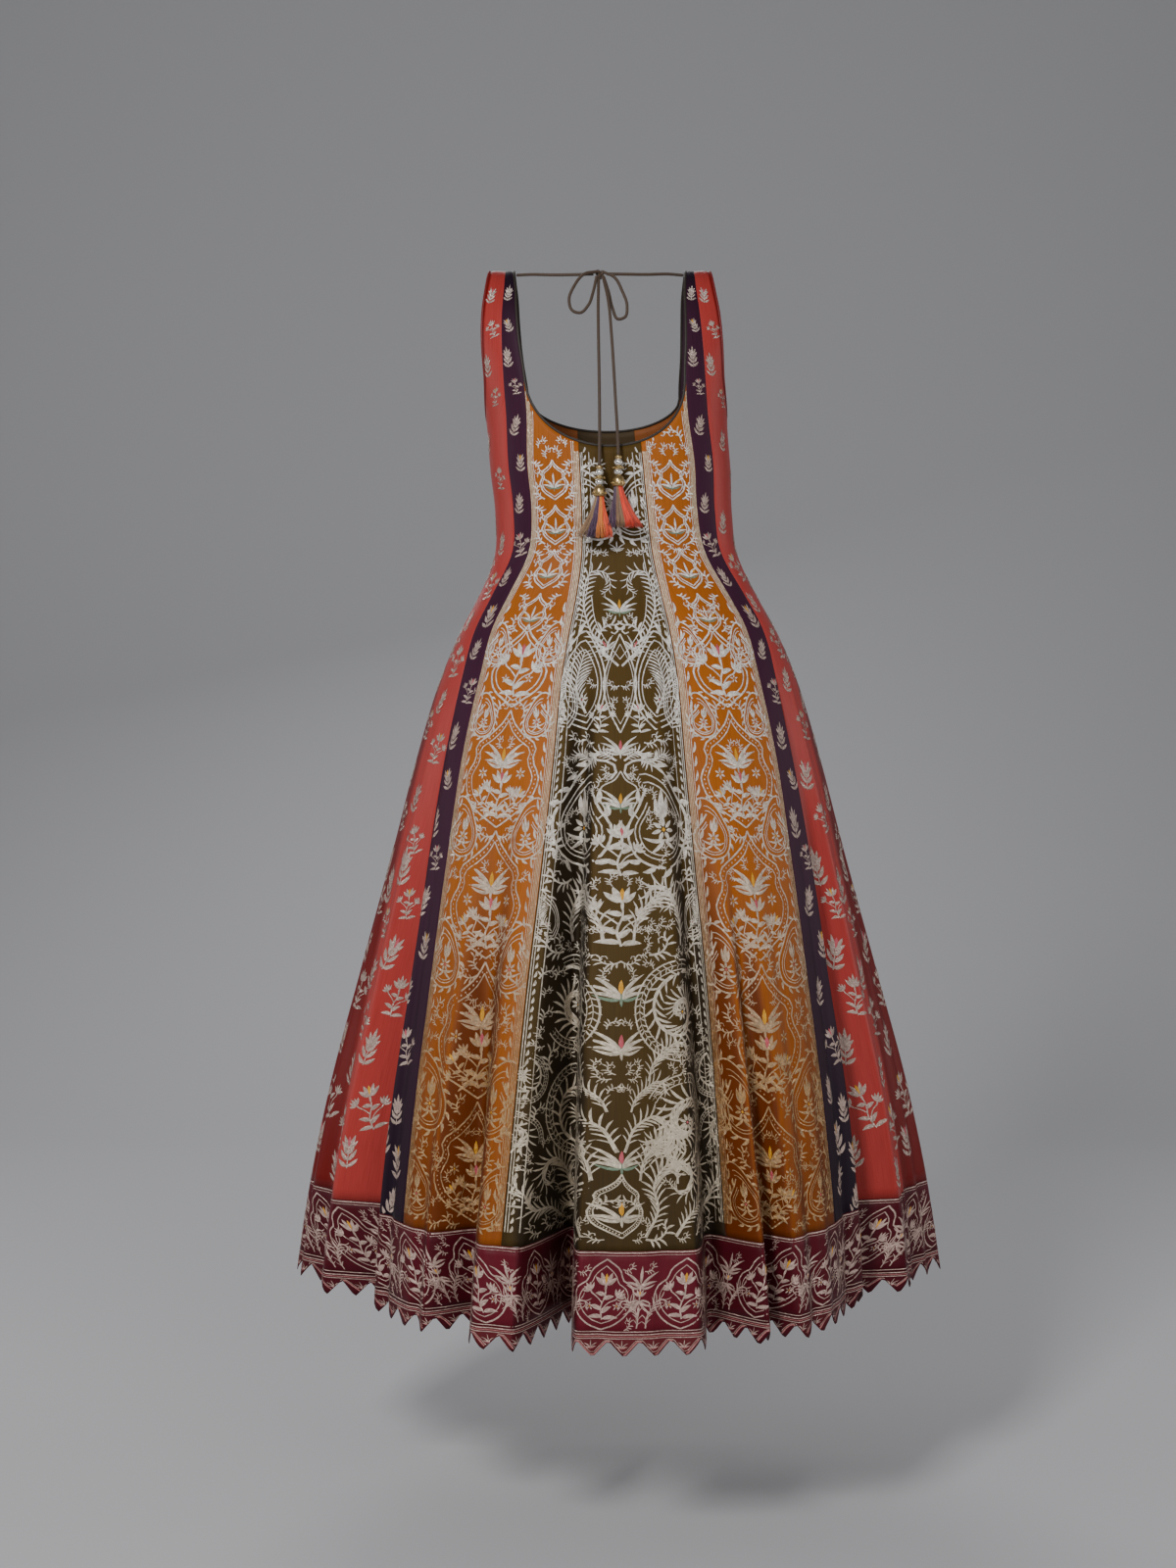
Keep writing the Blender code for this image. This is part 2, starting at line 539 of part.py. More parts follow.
def turned(name, top, profile, flatness, lean, finish):
    """A profile turned about the line under `top`, squashed front to back, its foot moved aside by lean."""
    angle = np.linspace(0.0, 2 * np.pi, TURNED_SIDES, endpoint=False)
    rings = [
        np.stack(
            [
                row.radius * np.cos(angle) + lean * row.below / profile[-1].below,
                flatness * row.radius * np.sin(angle),
                0.0 * angle - row.below,
            ],
            axis=1,
        )
        for row in profile
    ]
    points = np.concatenate(rings) + np.array(top)
    count = len(profile)
    place = np.arange(count * TURNED_SIDES).reshape(count, TURNED_SIDES)
    beside = np.roll(place, -1, axis=1)
    quads = np.stack([place[:-1], place[1:], beside[1:], beside[:-1]], axis=-1).reshape(-1, 4)
    add_object(name, points, quads.tolist() + [place[0].tolist(), place[-1][::-1].tolist()], finish)


def add_tie():
    cord = material("tie_cloth", TIE_BROWN, 0.7)
    gold = material("beads", GOLD, 0.3, 1.0)
    silk = material("tassel_silk", TASSEL_RED, 0.6)
    for stretch in STRETCHES:
        add_stretch(stretch, cord)
    add_knot(cord)
    for stretch in STRETCHES:
        if not stretch.name.startswith("tail"):
            continue
        hand = stretch.name.split("_")[1]
        end = np.array(stretch.points[-1]) - (0.0, 0.0, SEAM_GAP)
        end[1] += BEADS_SET_OUT
        turned(f"beads_{hand}", end, BEAD_PROFILE, 1.0, 0.0, gold)
        below = end - (0.0, 0.0, BEAD_PROFILE[-1].below + SEAM_GAP)
        turned(f"tassel_{hand}", below, TASSEL_PROFILE, TASSEL_FLATNESS, TASSEL_LEAN[hand], silk)


def main():
    for old in list(bpy.data.objects):
        bpy.data.objects.remove(old, do_unlink=True)
    add_panels()
    border = material("border_brocade", MAROON, 0.5)
    piping = material("edge_piping", PIPING, 0.7)
    for half, middle in (("back", 0.0), ("front", 8.0)):
        add_border(half, middle, border)
        add_points(half, middle, border)
    neck_binding(piping)
    for hand, sign in (("right", 1.0), ("left", -1.0)):
        armhole_binding(hand, sign, piping)
    add_tie()


main()
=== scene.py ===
"""The looks of a sleeveless, strappy anarkali gown, as worn on a general figure.

Metres, +Z up. The origin is midway between the tops of the two shoulder straps; +Y is the wearer's back and
+X the wearer's left. A place on the worn cloth is (around, height): around counts panels from the centre
back, positive to the wearer's right, so 0 is the centre back, 4 the side and 8 the centre front.

Each panel is a thin closed shell. Its woven figure is drawn on the panel's flat plan, (x, height) with x in
metres from the panel's middle line, as strokes that are narrow ribbons, and is then laid onto the cloth.
"""

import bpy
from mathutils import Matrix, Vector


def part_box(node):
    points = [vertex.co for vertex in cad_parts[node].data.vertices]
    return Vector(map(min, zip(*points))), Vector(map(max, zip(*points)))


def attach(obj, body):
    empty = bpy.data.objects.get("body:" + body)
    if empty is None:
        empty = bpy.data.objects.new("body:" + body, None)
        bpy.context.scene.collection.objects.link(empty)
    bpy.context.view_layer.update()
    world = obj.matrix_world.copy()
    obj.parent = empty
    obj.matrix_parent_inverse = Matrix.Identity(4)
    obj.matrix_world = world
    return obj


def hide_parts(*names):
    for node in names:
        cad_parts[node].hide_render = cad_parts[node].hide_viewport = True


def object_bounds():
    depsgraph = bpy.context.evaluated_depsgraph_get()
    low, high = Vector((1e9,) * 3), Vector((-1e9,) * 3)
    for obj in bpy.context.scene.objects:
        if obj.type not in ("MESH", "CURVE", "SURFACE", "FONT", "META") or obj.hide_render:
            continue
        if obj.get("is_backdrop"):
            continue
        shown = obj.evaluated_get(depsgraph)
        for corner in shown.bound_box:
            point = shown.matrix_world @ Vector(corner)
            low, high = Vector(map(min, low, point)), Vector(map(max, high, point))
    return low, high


bl_info = {
    "name": "Anarkali Gown",
    "version": (1, 0, 0),
    "blender": (4, 5, 0),
    "location": "3D View > Sidebar > Gown",
    "description": "Brocade panels, bordered hem, bindings and a tasselled back tie for an anarkali gown",
    "category": "Object",
}

from collections import namedtuple

import bpy
import numpy as np

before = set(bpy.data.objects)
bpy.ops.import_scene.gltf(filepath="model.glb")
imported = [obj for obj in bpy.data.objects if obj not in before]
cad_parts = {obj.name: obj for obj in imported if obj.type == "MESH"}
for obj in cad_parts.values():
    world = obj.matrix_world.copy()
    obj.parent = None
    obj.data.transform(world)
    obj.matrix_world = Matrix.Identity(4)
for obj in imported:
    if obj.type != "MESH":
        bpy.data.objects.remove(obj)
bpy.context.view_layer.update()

# ---- the form of the worn cloth, as in the solids ----
BORDER_TOP = -1.121
BORDER_BOTTOM = -1.2085
BORDER_MIDDLE = -1.165
TAPE_DEPTH = 0.0075
POINT_DEPTH = 0.0185
POINT_PITCH = 0.035
BORDER_PITCH = 0.087
HEM_TIP = BORDER_BOTTOM - TAPE_DEPTH - POINT_DEPTH
HEM_DIP = 0.012
SWAY = -0.0233
SWAY_ENDS = -0.45
BACK_SCOOP_TOP = -0.146
BACK_SCOOP_LOW = -0.227
FRONT_SCOOP_LOW = -0.186
UNDERARM = -0.185
ARMHOLE_ROUND = 0.055
STRAP_TURN = (47.4, 70.0)
SHOULDER_GAP = 0.00035
BINDING_REACH = 0.0026
BINDING_SINK = 0.0008
BINDING_HALF = 0.00115
SEAM_GAP = 0.0003
FOLD_GROWTH = 1.15
ALL_ROUND = 16.0
SIDE = 4.0
FRONT_SIDE = 4.000001
NORMAL_STEP = (0.003, 0.0012)
TOP_BAND = -1e-5

Section = namedtuple("Section", "height half_width back front square seam_1 seam_2 seam_3")
SECTIONS = [
    Section(0.000, 0.170, 0.000, 0.000, 2.50, 13.0, 36.2, 39.4),
    Section(-0.010, 0.169, 0.032, 0.030, 2.50, 13.0, 36.1, 39.9),
    Section(-0.030, 0.167, 0.056, 0.050, 2.50, 13.0, 35.9, 40.9),
    Section(-0.060, 0.165, 0.080, 0.068, 2.50, 13.0, 36.1, 42.6),
    Section(-0.100, 0.160, 0.098, 0.084, 2.50, 13.1, 36.6, 45.1),
    Section(-0.140, 0.154, 0.107, 0.100, 2.50, 13.4, 36.6, 47.7),
    Section(-0.185, 0.1485, 0.112, 0.114, 2.50, 14.0, 37.7, 50.2),
    Section(-0.247, 0.148, 0.112, 0.124, 2.50, 14.6, 39.6, 51.7),
    Section(-0.300, 0.146, 0.106, 0.117, 2.50, 15.4, 39.8, 51.6),
    Section(-0.350, 0.150, 0.101, 0.108, 2.50, 16.0, 41.6, 52.6),
    Section(-0.401, 0.172, 0.116, 0.120, 2.35, 16.8, 47.2, 59.2),
    Section(-0.437, 0.192, 0.137, 0.138, 2.20, 17.4, 49.8, 61.4),
    Section(-0.499, 0.219, 0.168, 0.165, 2.05, 18.2, 49.2, 59.4),
    Section(-0.596, 0.249, 0.210, 0.205, 2.00, 18.3, 49.6, 60.4),
    Section(-0.718, 0.281, 0.252, 0.245, 2.00, 19.0, 48.6, 61.6),
    Section(-0.864, 0.321, 0.300, 0.290, 2.00, 19.8, 46.8, 60.4),
    Section(-1.010, 0.360, 0.342, 0.330, 2.00, 20.0, 45.4, 60.2),
    Section(-1.125, 0.384, 0.368, 0.352, 2.00, 20.4, 44.9, 60.2),
    Section(-1.240, 0.402, 0.387, 0.370, 2.00, 20.8, 44.5, 60.0),
]

# middle and half_width in panels; reach is how far the cloth stands in (-) or out (+) at the hem.
Fold = namedtuple("Fold", "middle half_width reach top")
FOLDS = [
    Fold(0.89, 0.32, -0.083, -0.44),
    Fold(1.29, 0.14, -0.058, -0.66),
    Fold(2.60, 1.60, -0.060, -0.50),
    Fold(3.05, 0.28, -0.050, -0.47),
    Fold(3.60, 0.20, -0.016, -0.62),
    Fold(-0.60, 0.26, -0.150, -0.46),
    Fold(-1.42, 0.26, -0.070, -0.58),
    Fold(-2.50, 1.60, -0.045, -0.52),
    Fold(-2.96, 0.38, -0.050, -0.49),
    Fold(-3.56, 0.22, -0.022, -0.68),
    Fold(4.78, 0.34, -0.058, -0.50),
    Fold(6.02, 0.36, -0.040, -0.62),
    Fold(6.90, 0.28, -0.085, -0.46),
    Fold(-4.70, 0.32, -0.064, -0.48),
    Fold(-5.86, 0.34, -0.034, -0.66),
    Fold(-6.96, 0.30, -0.078, -0.47),
]
# Small creases, finer than the solids' facets.
CREASES = [
    Fold(0.34, 0.16, -0.0040, -0.52),
    Fold(-0.18, 0.13, -0.0030, -0.60),
    Fold(1.62, 0.10, -0.0060, -0.55),
    Fold(1.80, 0.09, 0.0035, -0.70),
    Fold(2.45, 0.16, -0.0050, -0.60),
    Fold(3.30, 0.07, 0.0050, -0.42),
    Fold(3.44, 0.06, -0.0060, -0.46),
    Fold(3.78, 0.08, -0.0070, -0.50),
    Fold(3.90, 0.06, 0.0050, -0.58),
    Fold(-1.75, 0.11, -0.0060, -0.58),
    Fold(-1.12, 0.10, 0.0040, -0.66),
    Fold(-2.40, 0.18, -0.0060, -0.62),
    Fold(-3.28, 0.08, 0.0050, -0.50),
    Fold(-3.40, 0.07, -0.0060, -0.55),
    Fold(-3.82, 0.08, -0.0060, -0.52),
    Fold(4.25, 0.10, -0.0060, -0.50),
    Fold(4.45, 0.08, 0.0050, -0.60),
    Fold(5.40, 0.16, -0.0050, -0.58),
    Fold(6.45, 0.12, -0.0060, -0.56),
    Fold(7.55, 0.14, -0.0040, -0.60),
    Fold(-4.28, 0.10, -0.0060, -0.52),
    Fold(-5.35, 0.16, -0.0050, -0.62),
    Fold(-6.42, 0.12, -0.0055, -0.58),
    Fold(-7.50, 0.15, -0.0045, -0.62),
]
SEAM_DIP = 0.0006
SEAM_SPREAD = 0.0035
SHELL = 0.0009
# Depth of fold at which the painted shade in it is full.
DEEP_FOLD = 0.06


# ---- the surface ----
def run_length(points):
    """Length of a path up to each of its points, from 0 at the first."""
    return np.concatenate([[0.0], np.cumsum(np.linalg.norm(np.diff(points, axis=0), axis=1))])


def smooth(at, knots, values):
    """A curve through (knots, values): on each span a cubic with the neighbouring spans' weighted mean slopes."""
    knots, values = np.asarray(knots, float), np.asarray(values, float)
    span = np.diff(knots)
    rise = np.diff(values) / span
    slope = np.empty(len(knots))
    slope[1:-1] = (rise[:-1] * span[1:] + rise[1:] * span[:-1]) / (span[:-1] + span[1:])
    slope[0], slope[-1] = rise[0], rise[-1]
    i = np.clip(np.searchsorted(knots, at) - 1, 0, len(span) - 1)
    t = np.clip((at - knots[i]) / span[i], 0.0, 1.0)
    start, end = values[i], values[i + 1]
    bend = (2 * t**3 - 3 * t**2 + 1) * start + (3 * t**2 - 2 * t**3) * end
    return bend + span[i] * ((t**3 - 2 * t**2 + t) * slope[i] + (t**3 - t**2) * slope[i + 1])


def root(height):
    """sqrt(-height), which spreads the rounded shoulder's rows evenly."""
    return np.sqrt(np.maximum(-np.asarray(height, float), 0.0))


ROOTS = root([row.height for row in SECTIONS])


def column(name, height):
    """One column of SECTIONS at any height."""
    return smooth(root(height), ROOTS, [getattr(row, name) for row in SECTIONS])


def wrap(around):
    """The same places, numbered from -8 to 8."""
    return (np.asarray(around, float) + 8.0) % ALL_ROUND - 8.0


def strap_edge(height):
    """Turn of the armhole's edge: it leaves the side at the underarm in a quarter of an ellipse."""
    share = np.clip(-height / -UNDERARM, 0.0, 1.0)
    free = STRAP_TURN[0] + (STRAP_TURN[1] - STRAP_TURN[0]) * share
    up = np.clip((height - UNDERARM) / ARMHOLE_ROUND, 0.0, 1.0)
    return 90.0 - (90.0 - free) * np.sqrt(1.0 - (1.0 - up) ** 2)


def turn(around, height):
    """Degrees from the centre back (0) through the side (90) to the centre front (180), signed as around."""
    size = np.abs(around)
    mirrored = np.where(size > SIDE, 8.0 - size, size)
    seams = [0.0 * height, *[column(f"seam_{k}", height) for k in (1, 2, 3)], strap_edge(height)]
    panel = np.clip(np.floor(mirrored).astype(int), 0, 3)
    low = np.choose(panel, seams[:4])
    high = np.choose(panel, seams[1:])
    degrees = low + (high - low) * (mirrored - panel)
    return np.sign(around) * np.where(size > SIDE, 180.0 - degrees, degrees)


def fold_reach(around, height, folds):
    """How far folds move the cloth out: a sum of cosine bumps that deepen downwards."""
    total = 0.0 * around * height
    for fold in folds:
        away = (around - fold.middle + ALL_ROUND / 2) % ALL_ROUND - ALL_ROUND / 2
        near = np.clip(np.abs(away) / fold.half_width, 0.0, 1.0)
        run = np.clip((fold.top - height) / (fold.top - HEM_TIP), 0.0, 1.0)
        total = total + fold.reach * run**FOLD_GROWTH * 0.5 * (1.0 + np.cos(np.pi * near))
    return total


def surface(around, height):
    """Outer face of the cloth: a rounded section at each height, leaned to one side, with its folds added."""
    around, height = np.broadcast_arrays(np.asarray(around, float), np.asarray(height, float))
    angle = np.radians(turn(around, height))
    side, back = np.sin(angle), np.cos(angle)
    square = column("square", height)
    scale = (np.abs(side) ** square + np.abs(back) ** square) ** (-1.0 / square)
    depth = np.where(back >= 0.0, column("back", height), column("front", height))
    reach = fold_reach(around, height, FOLDS + CREASES)
    lean = np.clip(height / SWAY_ENDS, 0.0, 1.0)
    x = -(column("half_width", height) * scale + reach) * side + SWAY * lean**2 * (3 - 2 * lean)
    y = (depth * scale + reach) * back
    return np.stack([x, y, height], axis=-1)


def unit(vectors):
    """The vectors over their lengths."""
    return vectors / np.maximum(np.linalg.norm(vectors, axis=-1, keepdims=True), 1e-12)


def same_half(moved, around):
    """The moved places, held on the half (back or front) that `around` is on, as an armhole parts the two."""
    back = np.clip(moved, -SIDE, SIDE)
    front = np.sign(around) * np.maximum(np.abs(moved), FRONT_SIDE)
    return np.where(np.abs(around) > SIDE, front, back)


def outward(around, height):
    """Outward unit normal of the cloth."""
    around, height = np.broadcast_arrays(np.asarray(around, float), np.asarray(height, float))
    da, dz = NORMAL_STEP
    above = np.minimum(height + dz, -1e-7)
    along = surface(same_half(around + da, around), height) - surface(same_half(around - da, around), height)
    up = surface(around, above) - surface(around, height - dz)
    normal = np.cross(along, up)
    normal[height > TOP_BAND] = (0.0, 0.0, 1.0)
    return unit(normal)


def hem_drop(around):
    """The hem hangs a little lower behind and a little higher in front than at the sides."""
    return -HEM_DIP * np.cos(np.asarray(around, float) * np.pi / 8.0)


def scoop(around):
    """Height of the neckline between the straps: half an ellipse, its ends upright where they meet them."""
    size = np.abs(around)
    front = size > SIDE
    part = np.where(front, 8.0 - size, size)
    reference = 0.0 * part + BACK_SCOOP_TOP - 0.05
    across = np.abs(surface(part, reference)[..., 0] - surface(0.0 * part, reference)[..., 0])
    whole = np.abs(surface(0.0 * part + 2.0, reference)[..., 0] - surface(0.0 * part, reference)[..., 0])
    low = np.where(front, FRONT_SCOOP_LOW, BACK_SCOOP_LOW)
    return BACK_SCOOP_TOP + (low - BACK_SCOOP_TOP) * np.sqrt(np.clip(1.0 - (across / whole) ** 2, 0.0, 1.0))


# ---- meshes ----
def circle(sides):
    """Even angles round a circle, in radians."""
    return np.linspace(0.0, 2 * np.pi, sides, endpoint=False)


def grid_quads(rows, columns):
    """Quads of a grid whose points are numbered along each row in turn."""
    place = np.arange(rows * columns).reshape(rows, columns)
    return np.stack([place[1:, :-1], place[1:, 1:], place[:-1, 1:], place[:-1, :-1]], axis=-1).reshape(-1, 4)


def ring_triangles(place, caps):
    """Triangles between the rings of point numbers on place's last two axes, then the caps."""
    beside = np.roll(place, -1, axis=-1)
    low, high = slice(None, -1), slice(1, None)
    corners = [place[..., low, :], place[..., high, :], beside[..., high, :], beside[..., low, :]]
    quads = np.stack(corners, axis=-1).reshape(-1, 4)
    return np.concatenate([quads[:, [0, 1, 2]], quads[:, [0, 2, 3]], caps])


def tube_quads(here, after):
    """Quads from each ring of point numbers to the ring after it."""
    return np.stack([here, np.roll(here, -1, axis=1), np.roll(after, -1, axis=1), after], axis=-1).reshape(-1, 4)


def add_mesh(name, points, faces, finish, uv=None, fields=()):
    """A smooth mesh from numpy arrays; fields are (name, kind, values) for each point."""
    mesh = bpy.data.meshes.new(name)
    mesh.vertices.add(len(points))
    mesh.vertices.foreach_set("co", np.ascontiguousarray(points, np.float32).ravel())
    faces = np.asarray(faces)
    mesh.loops.add(faces.size)
    mesh.loops.foreach_set("vertex_index", faces.ravel().astype(np.int32))
    mesh.polygons.add(len(faces))
    mesh.polygons.foreach_set("loop_start", np.arange(len(faces), dtype=np.int32) * faces.shape[1])
    mesh.update(calc_edges=True)
    mesh.shade_smooth()
    if uv is not None:
        layer = mesh.uv_layers.new(name="plan")
        layer.data.foreach_set("uv", np.ascontiguousarray(uv[faces.ravel()], np.float32).ravel())
    for title, kind, values in fields:
        attribute = mesh.attributes.new(title, kind, "POINT")
        key = "color" if kind == "FLOAT_COLOR" else "value"
        attribute.data.foreach_set(key, np.ascontiguousarray(values, np.float32).ravel())
    mesh.materials.append(finish)
    made = bpy.data.objects.new(name, mesh)
    bpy.context.scene.collection.objects.link(made)
    return made


def settle(piece, slot, *nodes):
    """The piece rides on the gown and stands for the nodes, which it hides; the slot is not used."""
    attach(piece, "root")
    if nodes:
        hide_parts(*nodes)
    return piece


class Cloth:
    """One piece of cloth as a grid of outer points, with the map from its flat plan onto the grid.

    Columns stand at even shares of the cloth's own width, -1 to 1, at each row, so that a fold gets as many as
    the cloth in it needs. middle is the place of share 0, or None for halfway across the cloth.
    """

    def __init__(self, start, middle, end, top, bottom, rows, columns, rise=1.0, sewn=True, shot=0.0):
        self.rows, self.columns, self.rise, self.shot = rows, columns, rise, shot
        self.down = np.linspace(0.0, 1.0, rows + 1) ** rise
        half = 160
        centre = 0.5 * (start + end) if middle is None else middle
        fine = np.concatenate([np.linspace(start, centre, half + 1), np.linspace(centre, end, half + 1)[1:]])
        tops, bottoms = top(fine), bottom(fine)
        levels = tops.mean() + (bottoms.mean() - tops.mean()) * self.down
        run = np.linalg.norm(np.diff(surface(wrap(fine)[None, :], levels[:, None]), axis=1), axis=2)
        run = np.concatenate([np.zeros((rows + 1, 1)), np.cumsum(run, axis=1)], axis=1)
        heart = run[:, half] if middle is not None else 0.5 * run[:, -1]
        share = np.linspace(-1.0, 1.0, columns + 1)
        wide = np.where(share[None, :] < 0.0, heart[:, None], (run[:, -1] - heart)[:, None])
        target = heart[:, None] + share[None, :] * wide
        self.around = np.stack([np.interp(target[i], run[i], fine) for i in range(rows + 1)])
        self.tops = top(self.around[0])
        self.bottoms = bottom(self.around[-1])
        self.height = self.tops + (self.bottoms - self.tops) * self.down[:, None]
        self.levels, self.halves = levels[::-1], (run[:, -1] - heart)[::-1]
        self.across = run[:, -1]
        places = wrap(self.around)
        self.points = surface(places, self.height)
        self.normals = outward(places, self.height)
        on_top = self.height > TOP_BAND
        self.points[on_top, 1] = np.sign(self.points[1, :, 1].mean()) * SHOULDER_GAP
        if sewn:
            away = (1.0 - np.abs(share)) * self.half_width(self.height)
            self.points -= self.normals * (SEAM_DIP * np.exp(-((away / SEAM_SPREAD) ** 2)))[..., None]
        self.share = share

    def half_width(self, height):
        """Flat distance from the middle line to the seam on the wearer's right."""
        return np.interp(height, self.levels, self.halves)

    def shade(self):
        """How much painted shade the silk takes, 0 to 1, as the share of its darker second colour that shows.

        It is 0 where the cloth faces straight out, and rises on the steep sides of folds, far into them and towards
        the hem; or, with a side weight, towards the wearer's side. All of it is painted shade, where less light falls.
        """
        # Painted shade on the steep sides of folds, which turn away from the light.
        out = self.points[..., :2] - np.array([SWAY, 0.0])
        away = 1.0 - (unit(out) * unit(self.normals[..., :2])).sum(axis=-1)
        # With a side weight, painted shade grows towards the wearer's side, wider lower down, where the cloth turns
        # from the light.
        if self.shot:
            beside = np.abs(np.abs(wrap(self.around)) - SIDE)
            reach = 0.20 + 0.34 * self.ramp(-0.42, 0.15)
            return np.clip(0.5 * away + self.shot * np.clip((reach - beside) / 0.16, 0.0, 1.0), 0.0, 1.0)
        # Painted shade far into folds and towards the hem, where less light reaches.
        shaded = np.clip(-fold_reach(self.around, self.height, FOLDS + CREASES) / DEEP_FOLD, 0.0, 1.0)
        return np.clip(1.6 * away + 0.6 * shaded + 0.45 * self.ramp(-0.72, 0.36), 0.0, 1.0)

    def ramp(self, start, fall):
        """0 above the height start, rising to 1 over a fall below it."""
        return np.clip((start - self.height) / fall, 0.0, 1.0)

    def place(self, x, height):
        """(points, normals) on the cloth for places on its plan."""
        share = np.clip(x / self.half_width(height), -1.0, 1.0)
        across = (share + 1.0) * 0.5 * self.columns
        i = np.clip(across.astype(int), 0, self.columns - 1)
        s = across - i
        top = self.tops[i] * (1 - s) + self.tops[i + 1] * s
        bottom = self.bottoms[i] * (1 - s) + self.bottoms[i + 1] * s
        down = np.clip((height - top) / (bottom - top), 0.0, 1.0) ** (1.0 / self.rise)
        j = np.clip(np.searchsorted(np.linspace(0, 1, self.rows + 1), down) - 1, 0, self.rows - 1)
        low, high = self.down[j], self.down[j + 1]
        t = (down**self.rise - low) / (high - low)
        weights = [(j, i, (1 - t) * (1 - s)), (j, i + 1, (1 - t) * s), (j + 1, i, t * (1 - s)), (j + 1, i + 1, t * s)]
        found = sum(self.points[a, b] * w[:, None] for a, b, w in weights)
        facing = sum(self.normals[a, b] * w[:, None] for a, b, w in weights)
        return found, unit(facing)

    def inside(self, x, height, margin, end=0.0006):
        """Whether places on the plan are on the cloth, at least margin from its sides and end from its ends."""
        limit = self.half_width(height)
        across = np.clip((x / limit + 1.0) * 0.5 * self.columns, 0, self.columns)
        index = np.arange(self.columns + 1)
        top, bottom = np.interp(across, index, self.tops), np.interp(across, index, self.bottoms)
        return (np.abs(x) < limit - margin) & (height < top - end) & (height > bottom + end)

    def plan(self):
        """UV of the grid's points, in metres on the plan."""
        return np.stack([self.share * self.half_width(self.height), self.height], axis=-1)

    def area(self):
        """True area: the sum of the cross products of each cell's two edges."""
        a, b = np.diff(self.points, axis=1)[:-1], np.diff(self.points, axis=0)[:, :-1]
        return float(np.linalg.norm(np.cross(a, b), axis=-1).sum())

    def add(self, name, finish):
        """The closed shell: the outer grid, the same grid a cloth's thickness inside it, and the rim."""
        rows, columns = self.points.shape[:2]
        count = rows * columns
        inner = self.points - self.normals * SHELL
        place = np.arange(count).reshape(rows, columns)
        quads = grid_quads(rows, columns)
        rim = np.concatenate([place[0, :-1], place[:-1, -1], place[-1, :0:-1], place[:0:-1, 0]])
        after = np.roll(rim, -1)
        sides = np.stack([rim, after, after + count, rim + count], axis=-1)
        faces = np.concatenate([quads, quads[:, ::-1] + count, sides])
        points = np.concatenate([self.points.reshape(-1, 3), inner.reshape(-1, 3)])
        plan = np.tile(self.plan().reshape(-1, 2), (2, 1))
        # Painted shade, as a field that the silk reads for its colour.
        shade = np.tile(self.shade().ravel(), 2)
        reverse = np.repeat([0.0, 1.0], count)
        fields = [("shade", "FLOAT", shade), ("reverse", "FLOAT", reverse)]
        return add_mesh(name, points, faces, finish, plan, fields)


# ---- strokes on a flat plan ----
# points: places; width: half the stroke's width at each; stroke: which stroke; tint: its thread.
Strokes = namedtuple("Strokes", "points width stroke tint")
ZARI, MUSTARD, SAGE, PINK, CREAM, PIPING = range(6)
TINTS = np.array([
    (1.0, 0.97, 0.92),
    (0.66, 0.31, 0.02),
    (0.16, 0.23, 0.15),
    (0.52, 0.09, 0.11),
    (0.86, 0.70, 0.50),
    (0.40, 0.145, 0.135),
])
METALS = np.array([0.34, 0.0, 0.0, 0.0, 0.34, 0.0])
# Colours the metal thread turns to lower on each panel: partly its tint on that ground, partly painted shade, as less
# light falls lower on the gown.
SHADED_SILVER = np.array([0.68, 0.60, 0.48])
SHADED_GOLD = np.array([0.50, 0.29, 0.12])
SHADED_DIM = np.array([0.54, 0.40, 0.37])
SHADED_ROSE = np.array([0.60, 0.42, 0.39])


def join(parts):
    """All the parts as one set of strokes."""
    counts = np.cumsum([0] + [part.stroke.max() + 1 for part in parts[:-1]])
    return Strokes(
        np.concatenate([part.points for part in parts]),
        np.concatenate([part.width for part in parts]),
        np.concatenate([part.stroke + count for part, count in zip(parts, counts)]),
        np.concatenate([part.tint for part in parts]),
    )


def put(motif, x, y, size=1.0, degrees=0.0, flip=1.0):
    """Copies of a motif: one for each entry of the arrays, flipped, sized, turned about its origin and moved."""
    values = [np.atleast_1d(np.asarray(value, float)) for value in (x, y, size, degrees, flip)]
    x, y, size, degrees, flip = np.broadcast_arrays(*values)
    angle = np.radians(degrees)[:, None]
    across, up = motif.points[:, 0] * flip[:, None] * size[:, None], motif.points[:, 1] * size[:, None]
    points = np.stack([
        x[:, None] + across * np.cos(angle) - up * np.sin(angle),
        y[:, None] + across * np.sin(angle) + up * np.cos(angle),
    ], axis=-1)
    count = motif.stroke.max() + 1
    stroke = motif.stroke + np.arange(len(x))[:, None] * count
    width = motif.width * size[:, None]
    return Strokes(points.reshape(-1, 2), width.ravel(), stroke.ravel(), np.tile(motif.tint, len(x)))


def pair(motif):
    """The motif and its mirror image."""
    return join([motif, put(motif, 0.0, 0.0, flip=-1.0)])


def line(points, width, tint=ZARI):
    """One stroke; width is its half width, a number or one for each point."""
    points = np.asarray(points, float)
    half = np.broadcast_to(np.asarray(width, float), (len(points),)).copy()
    return Strokes(points, half, np.zeros(len(points), int), np.full(len(points), tint))


def curve(knots, samples=17):
    """Evenly spaced points on a smooth curve through the knots."""
    knots = np.asarray(knots, float)
    run = run_length(knots)
    fine = np.linspace(0.0, run[-1], 8 * samples)
    path = np.stack([smooth(fine, run, knots[:, k]) for k in (0, 1)], axis=1)
    length = run_length(path)
    at = np.linspace(0.0, length[-1], samples)
    return np.stack([np.interp(at, length, path[:, k]) for k in (0, 1)], axis=1)


